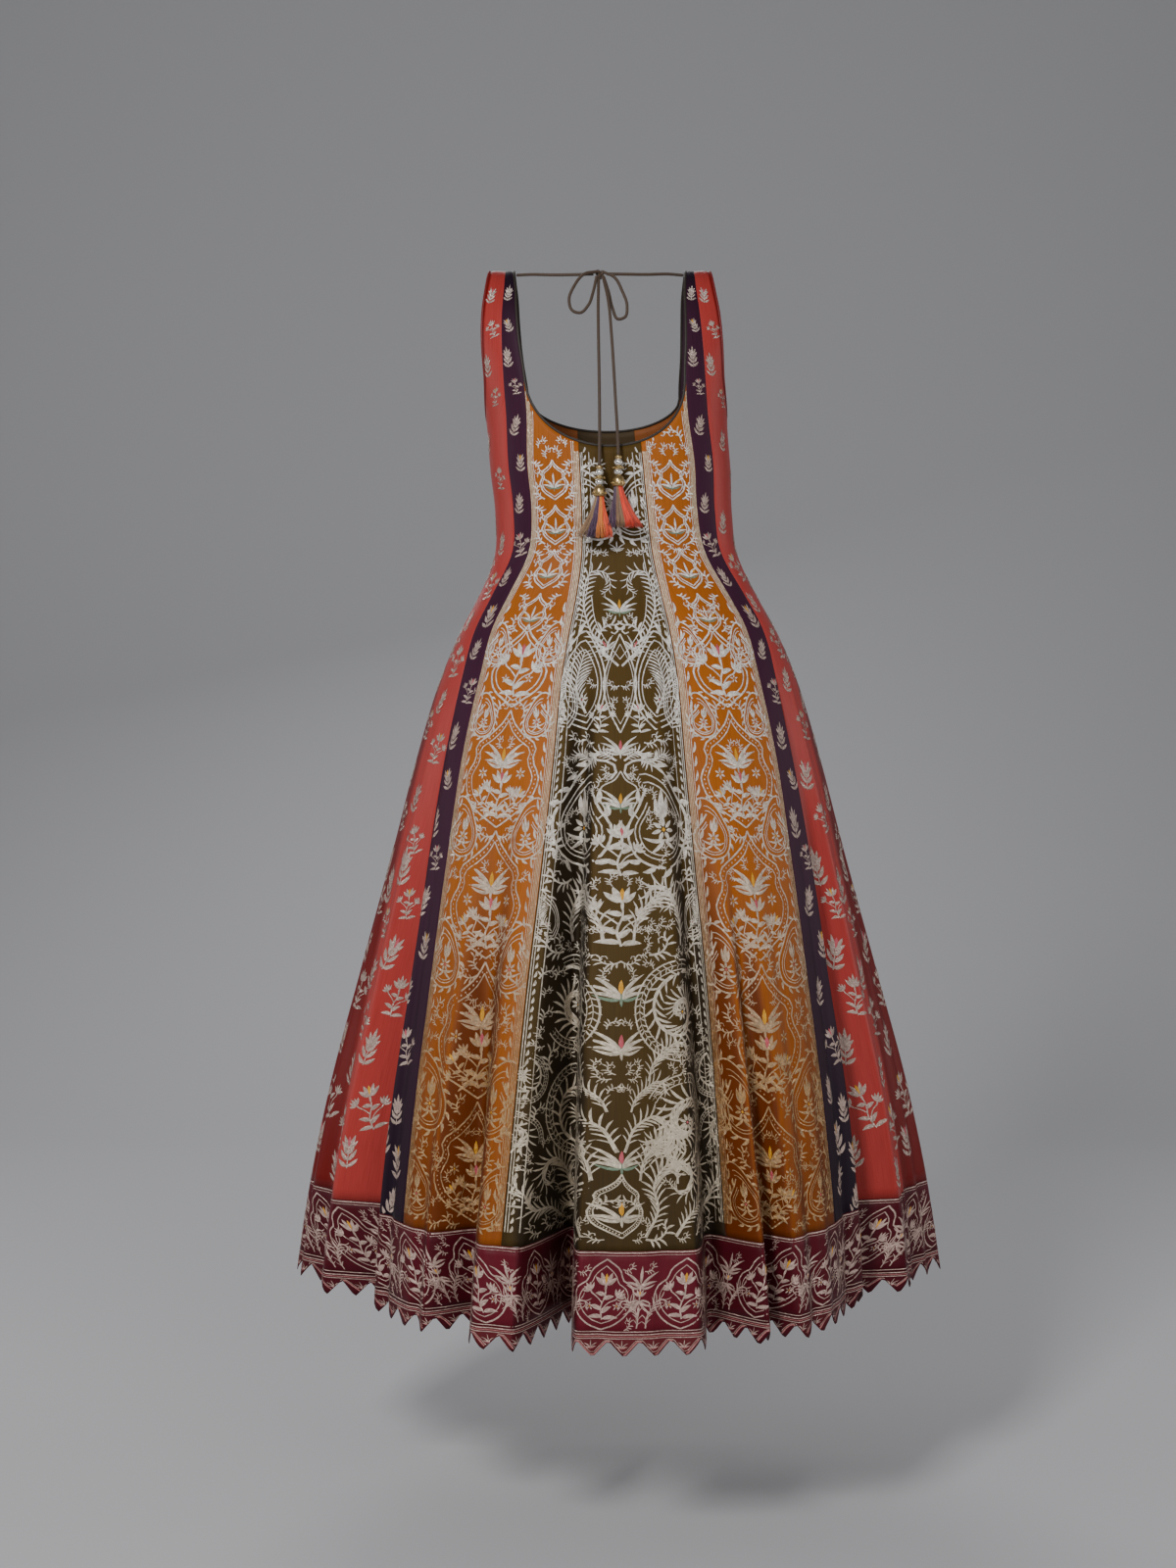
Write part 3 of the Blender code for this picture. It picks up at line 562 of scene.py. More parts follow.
def leaves(base, degrees, length, width, bend=0.0, tint=ZARI, samples=6, peak=0.8):
    """Leaves: each runs along its angle for its length and bends aside as the square of the run.

    Half width at a share t of the run is width * sin(pi * t**peak)**0.7, so it is widest nearer the tip, and
    rounder there, as peak grows.
    """
    base = np.atleast_2d(np.asarray(base, float))
    parts = [np.atleast_1d(np.asarray(v, float)) for v in (base[:, 0], base[:, 1], degrees, length, width, bend)]
    x, y, degrees, length, width, bend = [part[:, None] for part in np.broadcast_arrays(*parts)]
    t = np.linspace(0.0, 1.0, samples)
    along, aside = length * t, bend * length * t**2
    c, s = np.cos(np.radians(degrees)), np.sin(np.radians(degrees))
    points = np.stack([x + along * c - aside * s, y + along * s + aside * c], axis=-1)
    half = width * np.maximum(np.sin(np.pi * t**peak), 0.0) ** (0.56 / peak if peak > 1.0 else 0.7)
    count = len(x)
    return Strokes(
        points.reshape(-1, 2),
        np.broadcast_to(half, (count, samples)).ravel(),
        np.repeat(np.arange(count), samples),
        np.full(count * samples, tint),
    )


def dots(points, radius, tint=ZARI):
    """A small lozenge at each point."""
    points = np.atleast_2d(points)
    return leaves(points - (0.0, radius), 90.0, 2.0 * radius, radius, tint=tint, samples=4)


def headings(path):
    """Degrees of a path's run at each of its points."""
    run = np.gradient(path, axis=0)
    return np.degrees(np.arctan2(run[:, 1], run[:, 0]))


LEAVES_PER_COUNT = 1.75


def frond(path, count, length, width, sides, lean, stem):
    """A stem with leaves along it that sweep forwards, longest before its middle."""
    path = np.asarray(path, float)
    share = np.linspace(0.06, 0.97, int(LEAVES_PER_COUNT * count))
    index = share * (len(path) - 1)
    grid = np.arange(len(path))
    base = np.stack([np.interp(index, grid, path[:, k]) for k in (0, 1)], axis=1)
    facing = np.interp(index, grid, np.unwrap(headings(path), period=360.0))
    size = length * np.sin(np.pi * (0.12 + 0.8 * share)) ** 0.7
    parts = [line(path, stem * (1.6 - 1.1 * np.linspace(0.0, 1.0, len(path))))]
    for side in sides:
        slim = 0.52 * width * size / length
        parts.append(leaves(base, facing + side * (lean - 16.0), 1.10 * size, slim, 0.42 * side, ZARI, 5, 1.15))
    return join(parts)


def vine(knots, count, length, width, stem=0.0009, lean=46.0):
    """An acanthus stem through the knots, in metres, with leaves on both sides."""
    return frond(curve(knots, 29), count, length, 1.25 * width, (1, -1), lean, stem)


def both(motif, *where):
    """The motif put at one place, and its mirror image about the middle line."""
    return pair(put(motif, *where))


def both_lines(knots, samples, width):
    """A smooth line through the knots, and its mirror image about the middle line."""
    return pair(line(curve(knots, samples), width))


def spiral(radius, turns, samples=34, tightness=1.9):
    """Points of a spiral that starts at (radius, 0), runs up and round to the left, and closes on its centre."""
    t = np.linspace(0.0, 1.0, samples)
    angle = 2 * np.pi * turns * t
    size = radius * np.exp(-tightness * t)
    return np.stack([size * np.cos(angle), size * np.sin(angle)], axis=1)


ROSETTE = 0.5


def rosette(petals, heart=MUSTARD):
    """Petals round a small heart."""
    angle = np.arange(petals) * 360.0 / petals + 90.0
    way = np.stack([np.cos(np.radians(angle)), np.sin(np.radians(angle))], axis=1)
    ring = leaves(0.22 * ROSETTE * way, angle, 0.80 * ROSETTE, 0.21 * ROSETTE)
    return join([ring, dots([(0.0, 0.0)], 0.17 * ROSETTE, heart)])


def palmette(petals=7, spread=76.0, heart=ZARI, calyx=ZARI):
    """A fan of slim petals of height 1 on a pair of curled sepals; the middle petal has its own thread."""
    angle = np.linspace(-spread, spread, petals)
    length = 0.80 - 0.28 * np.abs(angle / spread) ** 1.4
    outer = np.abs(angle) > 1.0
    fan = leaves((0.0, 0.16), 90.0 - 0.75 * angle[outer], length[outer], 0.058, -0.50 * np.sign(angle[outer]))
    middle = leaves((0.0, 0.30), 90.0, 0.58 if heart == ZARI else 0.34, 0.062, tint=heart)
    cup = leaves([(0.0, 0.18)] * 2, [206.0, -26.0], 0.38, 0.050, [-0.8, 0.8], calyx)
    foot = leaves((0.0, 0.0), 90.0, 0.32, 0.036, tint=calyx)
    return join([fan, middle, cup, foot])


def blossom(heart=ZARI):
    """A five-petalled flower seen from the side, of height 1, on a small cup."""
    petals = leaves((0.0, 0.30), [22.0, 56.0, 124.0, 158.0], 0.60, 0.130, [0.25, 0.15, -0.15, -0.25])
    middle = leaves((0.0, 0.32), 90.0, 0.68 if heart == ZARI else 0.48, 0.115, tint=heart)
    cup = leaves((0.0, 0.0), 90.0, 0.42, 0.075)
    return join([petals, middle, cup])


def sprig(heart=ZARI):
    """A plant of height 1 that leans a little: a main blossom, two lesser ones on side stems, and slim leaves."""
    main = curve([(0.0, 0.0), (-0.05, 0.26), (0.03, 0.52), (0.02, 0.66)], 9)
    right = curve([(-0.03, 0.20), (0.12, 0.36), (0.26, 0.42)], 7)
    left = curve([(-0.02, 0.34), (-0.16, 0.48), (-0.27, 0.56)], 7)
    places = [(0.0, 0.02), (0.0, 0.05), (-0.03, 0.13), (-0.04, 0.20), (0.0, 0.42), (0.02, 0.50)]
    low = leaves(places, [24.0, 158.0, 52.0, 140.0, 34.0, 150.0], [0.32, 0.30, 0.25, 0.26, 0.22, 0.20], 0.056,
                 [-0.35, 0.35, -0.3, 0.3, -0.3, 0.3])
    return join([line(main, 0.020), line(right, 0.015), line(left, 0.015), low, put(blossom(heart), 0.02, 0.58, 0.46),
                 put(blossom(), 0.24, 0.40, 0.29, -38.0), put(blossom(), -0.25, 0.54, 0.28, 34.0)])


def bouquet(heart=ZARI):
    """A compact plant of height 1: three tiers of leaves that lean out less towards the top, and a fan of petals."""
    tiers = leaves([(0.0, 0.04), (0.0, 0.20), (0.0, 0.36)], [22.0, 38.0, 48.0], [0.34, 0.36, 0.30], 0.068, [0.25] * 3)
    fan = leaves((0.0, 0.52), [28.0, 60.0, 120.0, 152.0], [0.30, 0.38, 0.38, 0.30], 0.066, [0.2, 0.1, -0.1, -0.2])
    crown = leaves((0.0, 0.54), 90.0, 0.46 if heart == ZARI else 0.30, 0.070, tint=heart)
    return join([line([(0.0, 0.0), (0.0, 0.3), (0.0, 0.56)], 0.022), pair(tiers), fan, crown])


def paisley(stroke=0.018, heart=PINK):
    """A paisley of height 1, its tip curled to the right, with inner lines, a flower spray and a leafy outer edge."""
    rim = curve([(0.26, 0.84), (0.30, 0.93), (0.18, 1.0), (0.02, 0.93), (-0.15, 0.72), (-0.31, 0.42),
                 (-0.26, 0.14), (0.0, 0.02), (0.26, 0.14), (0.32, 0.40), (0.19, 0.60), (0.12, 0.74)], 37)
    heart_of = np.array([0.0, 0.36])
    parts = [line(rim, stroke)]
    parts += [line((rim[3:-1] - heart_of) * share + heart_of, 0.55 * stroke) for share in (0.80, 0.68)]
    at = np.arange(4, 35, 2)
    parts.append(leaves(rim[at], headings(rim)[at] - 58.0, 0.12, 0.028, 0.5, samples=5))
    parts.append(put(rosette(7, heart=heart), 0.0, 0.36, 0.22))
    parts.append(leaves([(0.0, 0.45)] * 3, [60.0, 88.0, 122.0], [0.20, 0.28, 0.20], 0.034, [0.3, 0.1, -0.3]))
    parts.append(leaves([(0.0, 0.27)] * 4, [-160.0, -125.0, -55.0, -20.0], 0.17, 0.022, [-0.6, -0.3, 0.3, 0.6]))
    return join(parts)


def drop_loop(stroke=0.010):
    """Nested leaf loops of height 1 that lean to the right, with a feathered frond inside."""
    rim = curve([(0.0, 0.0), (0.20, 0.10), (0.27, 0.36), (0.20, 0.66), (0.05, 0.90), (-0.06, 1.0), (-0.18, 0.80),
                 (-0.24, 0.46), (-0.16, 0.16), (0.0, 0.0)], 31)
    middle = np.array([0.0, 0.40])
    parts = [line((rim - middle) * share + middle, stroke * share) for share in (1.0, 0.84, 0.68)]
    rib = curve([(0.0, 0.16), (0.07, 0.40), (0.0, 0.66), (-0.05, 0.78)], 15)
    parts.append(frond(rib, 8, 0.16, 0.020, (1, -1), 40.0, 0.010))
    at = np.arange(3, 20, 2)
    parts.append(leaves(rim[at], headings(rim)[at] - 50.0, 0.13, 0.024, 0.5, samples=5))
    parts.append(put(rosette(5, heart=PINK), 0.02, 0.30, 0.12))
    return join(parts)


def ogee(across=0.62, dotted=True, stroke=0.010):
    """A pointed, cusped frame of height 1 on (0, 0): two lines, with dots between them if dotted."""
    wide = 0.5 * across
    right = curve([(0.0, 0.0), (0.28 * wide, 0.07), (0.86 * wide, 0.24), (wide, 0.42), (0.78 * wide, 0.60),
                   (0.82 * wide, 0.68), (0.42 * wide, 0.80), (0.14 * wide, 0.90), (0.0, 1.0)], 21)
    heart = np.array([0.0, 0.47])
    inner = (right - heart) * 0.84 + heart
    parts = [pair(line(right, stroke)), pair(line(inner, 0.7 * stroke))]
    if dotted:
        parts.append(pair(dots(curve(0.5 * (right + inner), 33)[1:-1], 0.9 * stroke)))
    return join(parts)


def scroll(turns=1.35, lobes=13, heart=MUSTARD):
    """A round acanthus scroll of radius 1: two rims with leaves between them, a leafy spiral and a flower."""
    ring = spiral(1.0, 0.72, 37, 0.10)
    band = frond(0.91 * ring, 17, 0.12, 0.030, (1, -1), 50.0, 0.006)
    path = 0.80 * spiral(1.0, turns, 37, 1.45)
    leafy = frond(path, lobes, 0.33, 0.068, (1, -1), 44.0, 0.030)
    flower = put(rosette(8, heart=heart), 0.0, 0.0, 0.34)
    return join([line(ring, 0.019), line(0.82 * ring, 0.013), band, leafy, flower])


def plume(count=8):
    """A tall acanthus leaf of height 1 that rises and curls over to the right."""
    path = curve([(0.0, 0.0), (-0.07, 0.28), (0.0, 0.62), (0.18, 0.90), (0.34, 0.88), (0.34, 0.72), (0.24, 0.68)], 27)
    beside = path + (0.040, 0.0)
    return join([frond(path, count, 0.25, 0.042, (1,), 40.0, 0.017), frond(path, count, 0.30, 0.046, (-1,), 32.0, 0.0),
                 line(beside[3:-5], 0.009)])


def tendril():
    """A half palmette of height 1 that curls over to the left, with leaves on its outer side, to fill a gap."""
    knots = [(-0.12, -0.52), (0.08, -0.28), (0.15, 0.04), (0.02, 0.32), (-0.20, 0.34), (-0.28, 0.14), (-0.15, 0.05)]
    path = curve(knots, 11)
    facing = headings(path)
    out, into = [1, 2, 3, 5, 6, 7], [2, 4, 6]
    lengths = [0.28, 0.34, 0.38, 0.36, 0.30, 0.24]
    outer = leaves(path[out], facing[out] - 22.0, lengths, 0.054, -0.60, samples=5, peak=1.5)
    inner = leaves(path[into], facing[into] + 26.0, [0.22, 0.20, 0.16], 0.042, 0.60, samples=4, peak=1.4)
    return join([line(path, 0.052 * np.linspace(1.0, 0.6, 11)), outer, inner])


FILL_SEED = 3


def fill(cloth, drawn, motif, size, margin, top, bottom, clear):
    """The motif on an uneven half-drop grid, mirrored about the middle, wherever the drawn strokes leave a gap."""
    chance = np.random.default_rng(FILL_SEED)
    pitch = 0.96 * size
    widest = cloth.half_width(bottom)
    rows = np.arange(bottom, top, 0.9 * pitch)
    columns = (np.arange(int(widest / pitch) + 1) + 0.5) * pitch
    x, y = np.meshgrid(columns, rows)
    x = x - 0.5 * pitch * (np.arange(len(rows)) % 2)[:, None]
    x, y = x + 0.3 * pitch * (chance.random(x.shape) - 0.5), y + 0.4 * pitch * (chance.random(x.shape) - 0.5)
    turned_by = 40.0 * (chance.random(x.shape) - 0.5) + 60.0 * (np.arange(len(rows)) % 3 - 1)[:, None]
    x, y, turned_by = x.ravel(), y.ravel(), turned_by.ravel()
    kept = cloth.inside(x, y, margin + 0.4 * size, 0.55 * size) & (x > 0.3 * size)
    x, y, turned_by = x[kept], y[kept], turned_by[kept]
    near = np.min((x[:, None] - drawn.points[None, :, 0]) ** 2 + (y[:, None] - drawn.points[None, :, 1]) ** 2, axis=1)
    kept = near > (clear * size) ** 2
    if not kept.any():
        return drawn
    return join([drawn, pair(put(motif, x[kept], y[kept], size, turned_by[kept]))])


RAIL_STEP = 0.012


def rails(cloth, gaps, width, top, bottom, tint=ZARI):
    """Lines that follow both seams of a panel, at each gap in from them."""
    y = np.linspace(top, bottom, int((top - bottom) / RAIL_STEP))
    limit = cloth.half_width(y)
    parts = []
    for gap in gaps:
        parts += [line(np.stack([side * (limit - gap), y], axis=1), width, tint) for side in (1.0, -1.0)]
    return join(parts)


def leaf_rail(cloth, gap, pitch, length, width, top, bottom, lean):
    """A column of leaves beside each seam: they stand one above the other and lean in from it."""
    y = np.arange(bottom, top, pitch)
    x = cloth.half_width(y) - gap
    return pair(leaves(np.stack([x, y], axis=1), 90.0 + lean, length, width, -0.35))


# How far a stroke's edges stand off the cloth, its ridge's height as a share of its half width, and the most of it.
LIFT = 0.00022
RIDGE = 0.22
MOST_RIDGE = 0.0005
# The least half width of a stroke, and the share of its drawn width that each keeps.
FINEST = 0.00028
FULLNESS = 0.80
# Where the metal thread's painted shade and tint begin, and over what fall they come in.
SHADE_TINT_BEGINS = -0.40
SHADE_TINT_DEPTH = 0.55


def weave(cloth, strokes, name, finish, margin, shade_tint, begin=SHADE_TINT_BEGINS):
    """The strokes as raised ribbons on the cloth: each has two edges and a ridge between them.

    The edges stand at points +- width * side, side being the run's normal on the plan; the ridge stands
    higher by RIDGE * width. Below the height where it begins, the metal thread takes its panel's tint and painted
    shade.
    """
    points, stroke = strokes.points, strokes.stroke
    index = np.arange(len(points))
    same_next = np.append(stroke[1:] == stroke[:-1], False)
    same_last = np.insert(same_next[:-1], 0, False)
    ahead = points[np.where(same_next, index + 1, index)]
    behind = points[np.where(same_last, index - 1, index)]
    run = unit(ahead - behind)
    side = np.stack([-run[:, 1], run[:, 0]], axis=1)
    width = np.maximum(FULLNESS * strokes.width, FINEST)
    width = np.where((same_next & same_last) | (FULLNESS * strokes.width > FINEST), width, 0.4 * FINEST)
    left, right = points + side * width[:, None], points - side * width[:, None]
    on = cloth.inside(points[:, 0], points[:, 1], margin)
    first = np.flatnonzero(same_next & on & np.roll(on, -1))
    lift = LIFT + np.minimum(RIDGE * width, MOST_RIDGE)
    rows = []
    for spots, rise in ((left, LIFT), (points, lift), (right, LIFT)):
        found, normal = cloth.place(spots[:, 0], spots[:, 1])
        rows.append(found + normal * np.broadcast_to(rise, (len(spots),))[:, None])
    count = len(points)
    low = np.stack([first, first + count, first + count + 1, first + 1], axis=1)
    faces = np.concatenate([low, low + count])
    used, faces = np.unique(faces, return_inverse=True)
    faces = faces.reshape(-1, 4)
    # Painted shade with the panel's tint on the metal thread, growing downwards from where it begins; silk threads keep
    # their colour.
    shade_tint_share = np.clip((begin - points[:, 1:]) / SHADE_TINT_DEPTH, 0.0, 1.0) * (METALS[strokes.tint] > 0.0)[:, None]
    tint = np.concatenate([TINTS[strokes.tint] * (1.0 - shade_tint_share * (1.0 - shade_tint)), np.ones((count, 1))], axis=1)
    along = np.cumsum(np.where(same_last, np.linalg.norm(points - behind, axis=1), 0.0))
    uv = np.stack([np.tile(along, 3), np.concatenate([width, 0.0 * width, -width])], axis=1)
    fields = [
        ("tint", "FLOAT_COLOR", np.tile(tint, (3, 1))[used]),
        ("metal", "FLOAT", np.tile(METALS[strokes.tint], 3)[used]),
    ]
    return add_mesh(name, np.concatenate(rows)[used], faces, finish, uv[used], fields)


# ---- the figures of the cloths ----
def olive_figure(cloth):
    """Mirrored acanthus down the panel: paisleys, a lyre round a tulip, a long ogee between leaf loops, a lotus,
    an arch, great paisleys, sprays, round scrolls and columns of leaves."""
    low, high = BORDER_TOP + 0.004, cloth.tops.max()
    arch = [(0.0, 0.030), (0.006, 0.020), (0.018, 0.012), (0.019, -0.002), (0.014, -0.016), (0.020, -0.024)]
    parts = [
        both(paisley(), 0.0195, -0.338, 0.086, -4.0),
        put(palmette(7, 76.0, PINK), 0.0, -0.300, 0.020),
        put(palmette(5, 60.0), 0.0, -0.352, 0.016),
        pair(vine([(0.002, -0.488), (0.020, -0.470), (0.038, -0.437), (0.042, -0.402), (0.030, -0.374),
                   (0.014, -0.377), (0.011, -0.395), (0.021, -0.402)], 15, 0.0125, 0.0018, 0.0010)),
        both_lines([(0.0, -0.480), (0.014, -0.462), (0.029, -0.434), (0.033, -0.404)], 15, 0.0006),
        put(palmette(7, 70.0, MUSTARD, SAGE), 0.0, -0.430, 0.034),
        both(palmette(5, 60.0, PINK), 0.013, -0.472, 0.024, -28.0),
        both_lines([(0.0, -0.566), (0.014, -0.535), (0.019, -0.508), (0.012, -0.478), (0.0, -0.450)], 19, 0.0010),
        both_lines([(0.0, -0.556), (0.011, -0.533), (0.0155, -0.508), (0.010, -0.482), (0.0, -0.462)], 19, 0.0005),
        both(drop_loop(), 0.041, -0.562, 0.116, -4.0),
        both(drop_loop(0.014), 0.064, -0.560, 0.074, -10.0),
        both(sprig(PINK), 0.024, -0.566, 0.036, 8.0),
        put(palmette(7, 62.0, PINK), 0.0, -0.596, 0.034),
        pair(vine([(0.004, -0.598), (0.022, -0.588), (0.034, -0.600), (0.052, -0.590), (0.062, -0.598)],
                  12, 0.010, 0.0018)),
        both_lines(np.array(arch) + (0.0, -0.640), 19, 0.0009),
        put(palmette(7, 62.0, MUSTARD, SAGE), 0.0, -0.658, 0.036),
        both(paisley(0.013, MUSTARD), 0.054, -0.722, 0.128, 6.0, -1.0),
        put(sprig(PINK), 0.0, -0.728, 0.060),
        both(sprig(MUSTARD), 0.088, -0.700, 0.040, -12.0),
        both(plume(), 0.014, -0.800, 0.070, -22.0),
        put(sprig(MUSTARD), 0.0, -0.806, 0.068),
        both(plume(), 0.072, -0.806, 0.078, 10.0, -1.0),
        both(drop_loop(0.015), 0.100, -0.800, 0.060, -14.0),
        both(scroll(1.35, 15, MUSTARD), 0.070, -0.878, 0.057, 70.0),
        put(palmette(7, 62.0, MUSTARD, SAGE), 0.0, -0.872, 0.046),
        put(palmette(7, 62.0, PINK), 0.0, -0.930, 0.044),
        both(scroll(1.35, 15, PINK), 0.074, -0.997, 0.056, 250.0),
        both(plume(), 0.010, -0.985, 0.050, -34.0),
        pair(vine([(0.003, -1.028), (0.016, -1.000), (0.038, -0.990), (0.056, -1.004), (0.056, -1.026), (0.040, -1.034),
                   (0.033, -1.020), (0.043, -1.013)], 13, 0.0165, 0.0024, 0.0013, 40.0)),
        put(palmette(7, 62.0, PINK, SAGE), 0.0, -1.052, 0.040),
        both(scroll(1.3, 11, PINK), 0.150, -0.950, 0.030, 120.0),
        both(scroll(1.3, 11, MUSTARD), 0.163, -1.016, 0.032, 300.0),
        pair(vine([(0.026, -1.118), (0.040, -1.090), (0.036, -1.062), (0.052, -1.042), (0.076, -1.044), (0.080, -1.064),
                   (0.066, -1.074), (0.056, -1.064)], 15, 0.0175, 0.0025, 0.0014, 38.0)),
        pair(vine([(0.060, -1.118), (0.078, -1.094), (0.098, -1.082), (0.104, -1.060), (0.120, -1.046), (0.138, -1.056),
                   (0.134, -1.074), (0.121, -1.072)], 15, 0.0175, 0.0025, 0.0014, 38.0)),
        pair(vine([(0.112, -1.118), (0.132, -1.100), (0.156, -1.096), (0.164, -1.074), (0.182, -1.062), (0.196, -1.074),
                   (0.188, -1.088), (0.178, -1.082)], 14, 0.0165, 0.0024, 0.0013, 38.0)),
        pair(vine([(0.084, -1.118), (0.100, -1.104), (0.112, -1.104)], 5, 0.0150, 0.0022, 0.0010, 38.0)),
        both(plume(9), 0.020, -1.058, 0.066, -24.0),
        both(plume(9), 0.062, -1.062, 0.058, 16.0, -1.0),
        both(plume(9), 0.030, -0.952, 0.060, -30.0),
        put(ogee(0.66, True, 0.014), 0.0, -1.119, 0.068),
        put(palmette(5, 66.0, MUSTARD), 0.0, -1.108, 0.042),
        rails(cloth, (0.0016, 0.0036, 0.0118), 0.0005, high, low),
        leaf_rail(cloth, 0.0050, 0.0095, 0.0070, 0.0013, high, low, 42.0),
    ]
    drawn = fill(cloth, join(parts), tendril(), 0.030, 0.004, high, low, 0.29)
    drawn = fill(cloth, drawn, tendril(), 0.019, 0.006, high, low, 0.30)
    return fill(cloth, drawn, tendril(), 0.0130, 0.006, high, low, 0.34)


def orange_figure(cloth):
    """Stacked ogee frames with plants, paisleys between them, and striped bands with arrow leaves by the seams."""
    low, high = BORDER_TOP + 0.004, cloth.tops.max()
    small = join([ogee(0.72, False, 0.020), put(palmette(5, 62.0, ZARI, SAGE), 0.0, 0.20, 0.54),
                  dots([(-0.17, 0.46), (0.17, 0.46)], 0.045, MUSTARD)])
    vase = join([ogee(0.74, False, 0.014), put(sprig(PINK), 0.0, 0.12, 0.68), both(rosette(5), 0.16, 0.34, 0.11)])
    tall = join([ogee(0.74, True, 0.0085), put(sprig(PINK), 0.0, 0.08, 0.42),
                 put(palmette(7, 62.0, MUSTARD), 0.0, 0.46, 0.34),
                 both(sprig(MUSTARD), 0.07, 0.10, 0.30, -34.0), both(rosette(6), 0.19, 0.46, 0.10),
                 both(rosette(6, heart=PINK), 0.10, 0.62, 0.07)])
    steps = -0.2485 - 0.053 * np.arange(4)
    parts = [
        put(small, 0.0, steps - 0.040, 0.047),
        both(tendril(), 0.0185, steps - 0.030, 0.020, -20.0),
        both(tendril(), 0.0200, steps - 0.002, 0.018, 150.0),
        put(vase, 0.0, -0.536, 0.098),
        put(tall, 0.0, -0.676, 0.136),
        put(tall, 0.0, -0.826, 0.146),
        put(tall, 0.0, -0.984, 0.154),
        put(tall, 0.0, -1.124, 0.136),
        both(paisley(0.022), 0.037, -0.486, 0.050, 10.0),
        both(paisley(0.022), 0.040, -0.572, 0.052, 12.0),
        both(paisley(0.017, MUSTARD), 0.049, -0.712, 0.070, 8.0),
        both(paisley(0.016), 0.058, -0.862, 0.078, 6.0),
        both(paisley(0.014, MUSTARD), 0.068, -1.022, 0.088, 4.0),
        both(paisley(0.015), 0.106, -1.016, 0.070, 0.0),
        both(paisley(0.015), 0.082, -1.117, 0.070, 0.0),
        rails(cloth, (0.0012, 0.0030, 0.0048, 0.0066), 0.00075, high, low, CREAM),
        rails(cloth, (0.0088,), 0.0005, high, low),
        leaf_rail(cloth, 0.0100, 0.0165, 0.0125, 0.0018, -0.42, low, 36.0),
    ]
    drawn = fill(cloth, join(parts), tendril(), 0.021, 0.005, high, low, 0.30)
    return fill(cloth, drawn, tendril(), 0.0135, 0.004, high, low, 0.36)


def sprigs(cloth, plants, pitch, size, columns, across):
    """Plants down the panel, at alternate sides of each row.

    pitch and size are (at the top, at the hem); columns is how many stand side by side at the top and the hem;
    across is the share of the panel's half width that they are set over.
    """
    top, bottom = -0.024, BORDER_TOP + 0.03
    y, row, parts = top, 0, []
    while y > bottom:
        share = (top - y) / (top - bottom)
        big = size[0] + (size[1] - size[0]) * share
        number = int(round(columns[0] + (columns[1] - columns[0]) * share))
        wide = cloth.half_width(np.array([y]))[0] * across
        side = 1 if row % 2 else -1
        spots = np.linspace(-wide, wide, 2 * number + 1)[1::2] + side * 0.5 * wide / number
        lean = side * (9.0 + 14.0 * np.sin(2.1 * row))
        big = big * (1.0 + 0.14 * np.sin(3.7 * row))
        step = (pitch[0] + (pitch[1] - pitch[0]) * share) * (1.0 + 0.10 * np.sin(5.3 * row))
        dropped = y - big - 0.5 * step * (np.arange(number) % 2)
        parts.append(put(plants[row % len(plants)], spots, dropped, big, lean, side))
        y -= step
        row += 1
    return join(parts)


def purple_figure(cloth):
    """Compact plants in one column, and in two towards the hem."""
    plants = [bouquet(), bouquet(MUSTARD), bouquet(), sprig(PINK)]
    return sprigs(cloth, plants, (0.041, 0.056), (0.021, 0.044), (1, 1.6), 0.66)


def coral_figure(cloth):
    """Plants in one column at the strap, and in three at the hem."""
    plants = [bouquet(PINK), sprig(), bouquet(), sprig(MUSTARD)]
    return sprigs(cloth, plants, (0.044, 0.060), (0.023, 0.054), (1, 3.4), 0.92)


def border_figure(cloth):
    """Double ogee frames with flower vases, joined by crossings with flared palmettes, between silver lines."""
    top, bottom = BORDER_TOP - 0.012, BORDER_BOTTOM - 0.012
    total = cloth.halves.max() * 2.0
    number = max(1, int(round(total / BORDER_PITCH)))
    repeat = total / number
    frame_motif = join([
        both_lines([(0.0, 0.0), (0.16, 0.06), (0.36, 0.24), (0.42, 0.46), (0.36, 0.60), (0.26, 0.66),
                    (0.20, 0.80), (0.0, 0.95)], 21, 0.013),
        both_lines([(0.0, 0.08), (0.13, 0.13), (0.29, 0.28), (0.34, 0.46), (0.29, 0.56), (0.20, 0.62),
                    (0.14, 0.74), (0.0, 0.86)], 21, 0.008),
        put(sprig(MUSTARD), 0.0, 0.13, 0.66),
        both(rosette(5), 0.19, 0.32, 0.12),
        both(plume(6), 0.5, 0.02, 0.46, 14.0, -1.0),
        put(palmette(5, 56.0), 0.5, 0.49, 0.42),
        put(palmette(5, 56.0), 0.5, 0.45, 0.36, 180.0),
        put(blossom(MUSTARD), 0.5, 0.40, 0.17),
    ])
    x = (np.arange(number) + 0.5) * repeat - 0.5 * total
    drop = np.interp(x / cloth.half_width(BORDER_MIDDLE), cloth.share, cloth.bottoms)
    parts = [put(frame_motif, x, drop + 0.004, 0.079)]
    share = np.linspace(-0.999, 0.999, 420)
    across = share * cloth.half_width(BORDER_MIDDLE)
    low, high = np.interp(share, cloth.share, cloth.bottoms), np.interp(share, cloth.share, cloth.tops)
    for edge, width in ((high - 0.0016, 0.0010), (high - 0.0046, 0.0004), (low + 0.0020, 0.0006)):
        parts.append(line(np.stack([across, edge], axis=1), width))
    return fill(cloth, join(parts), tendril(), 0.0130, 0.002, top, bottom, 0.46)


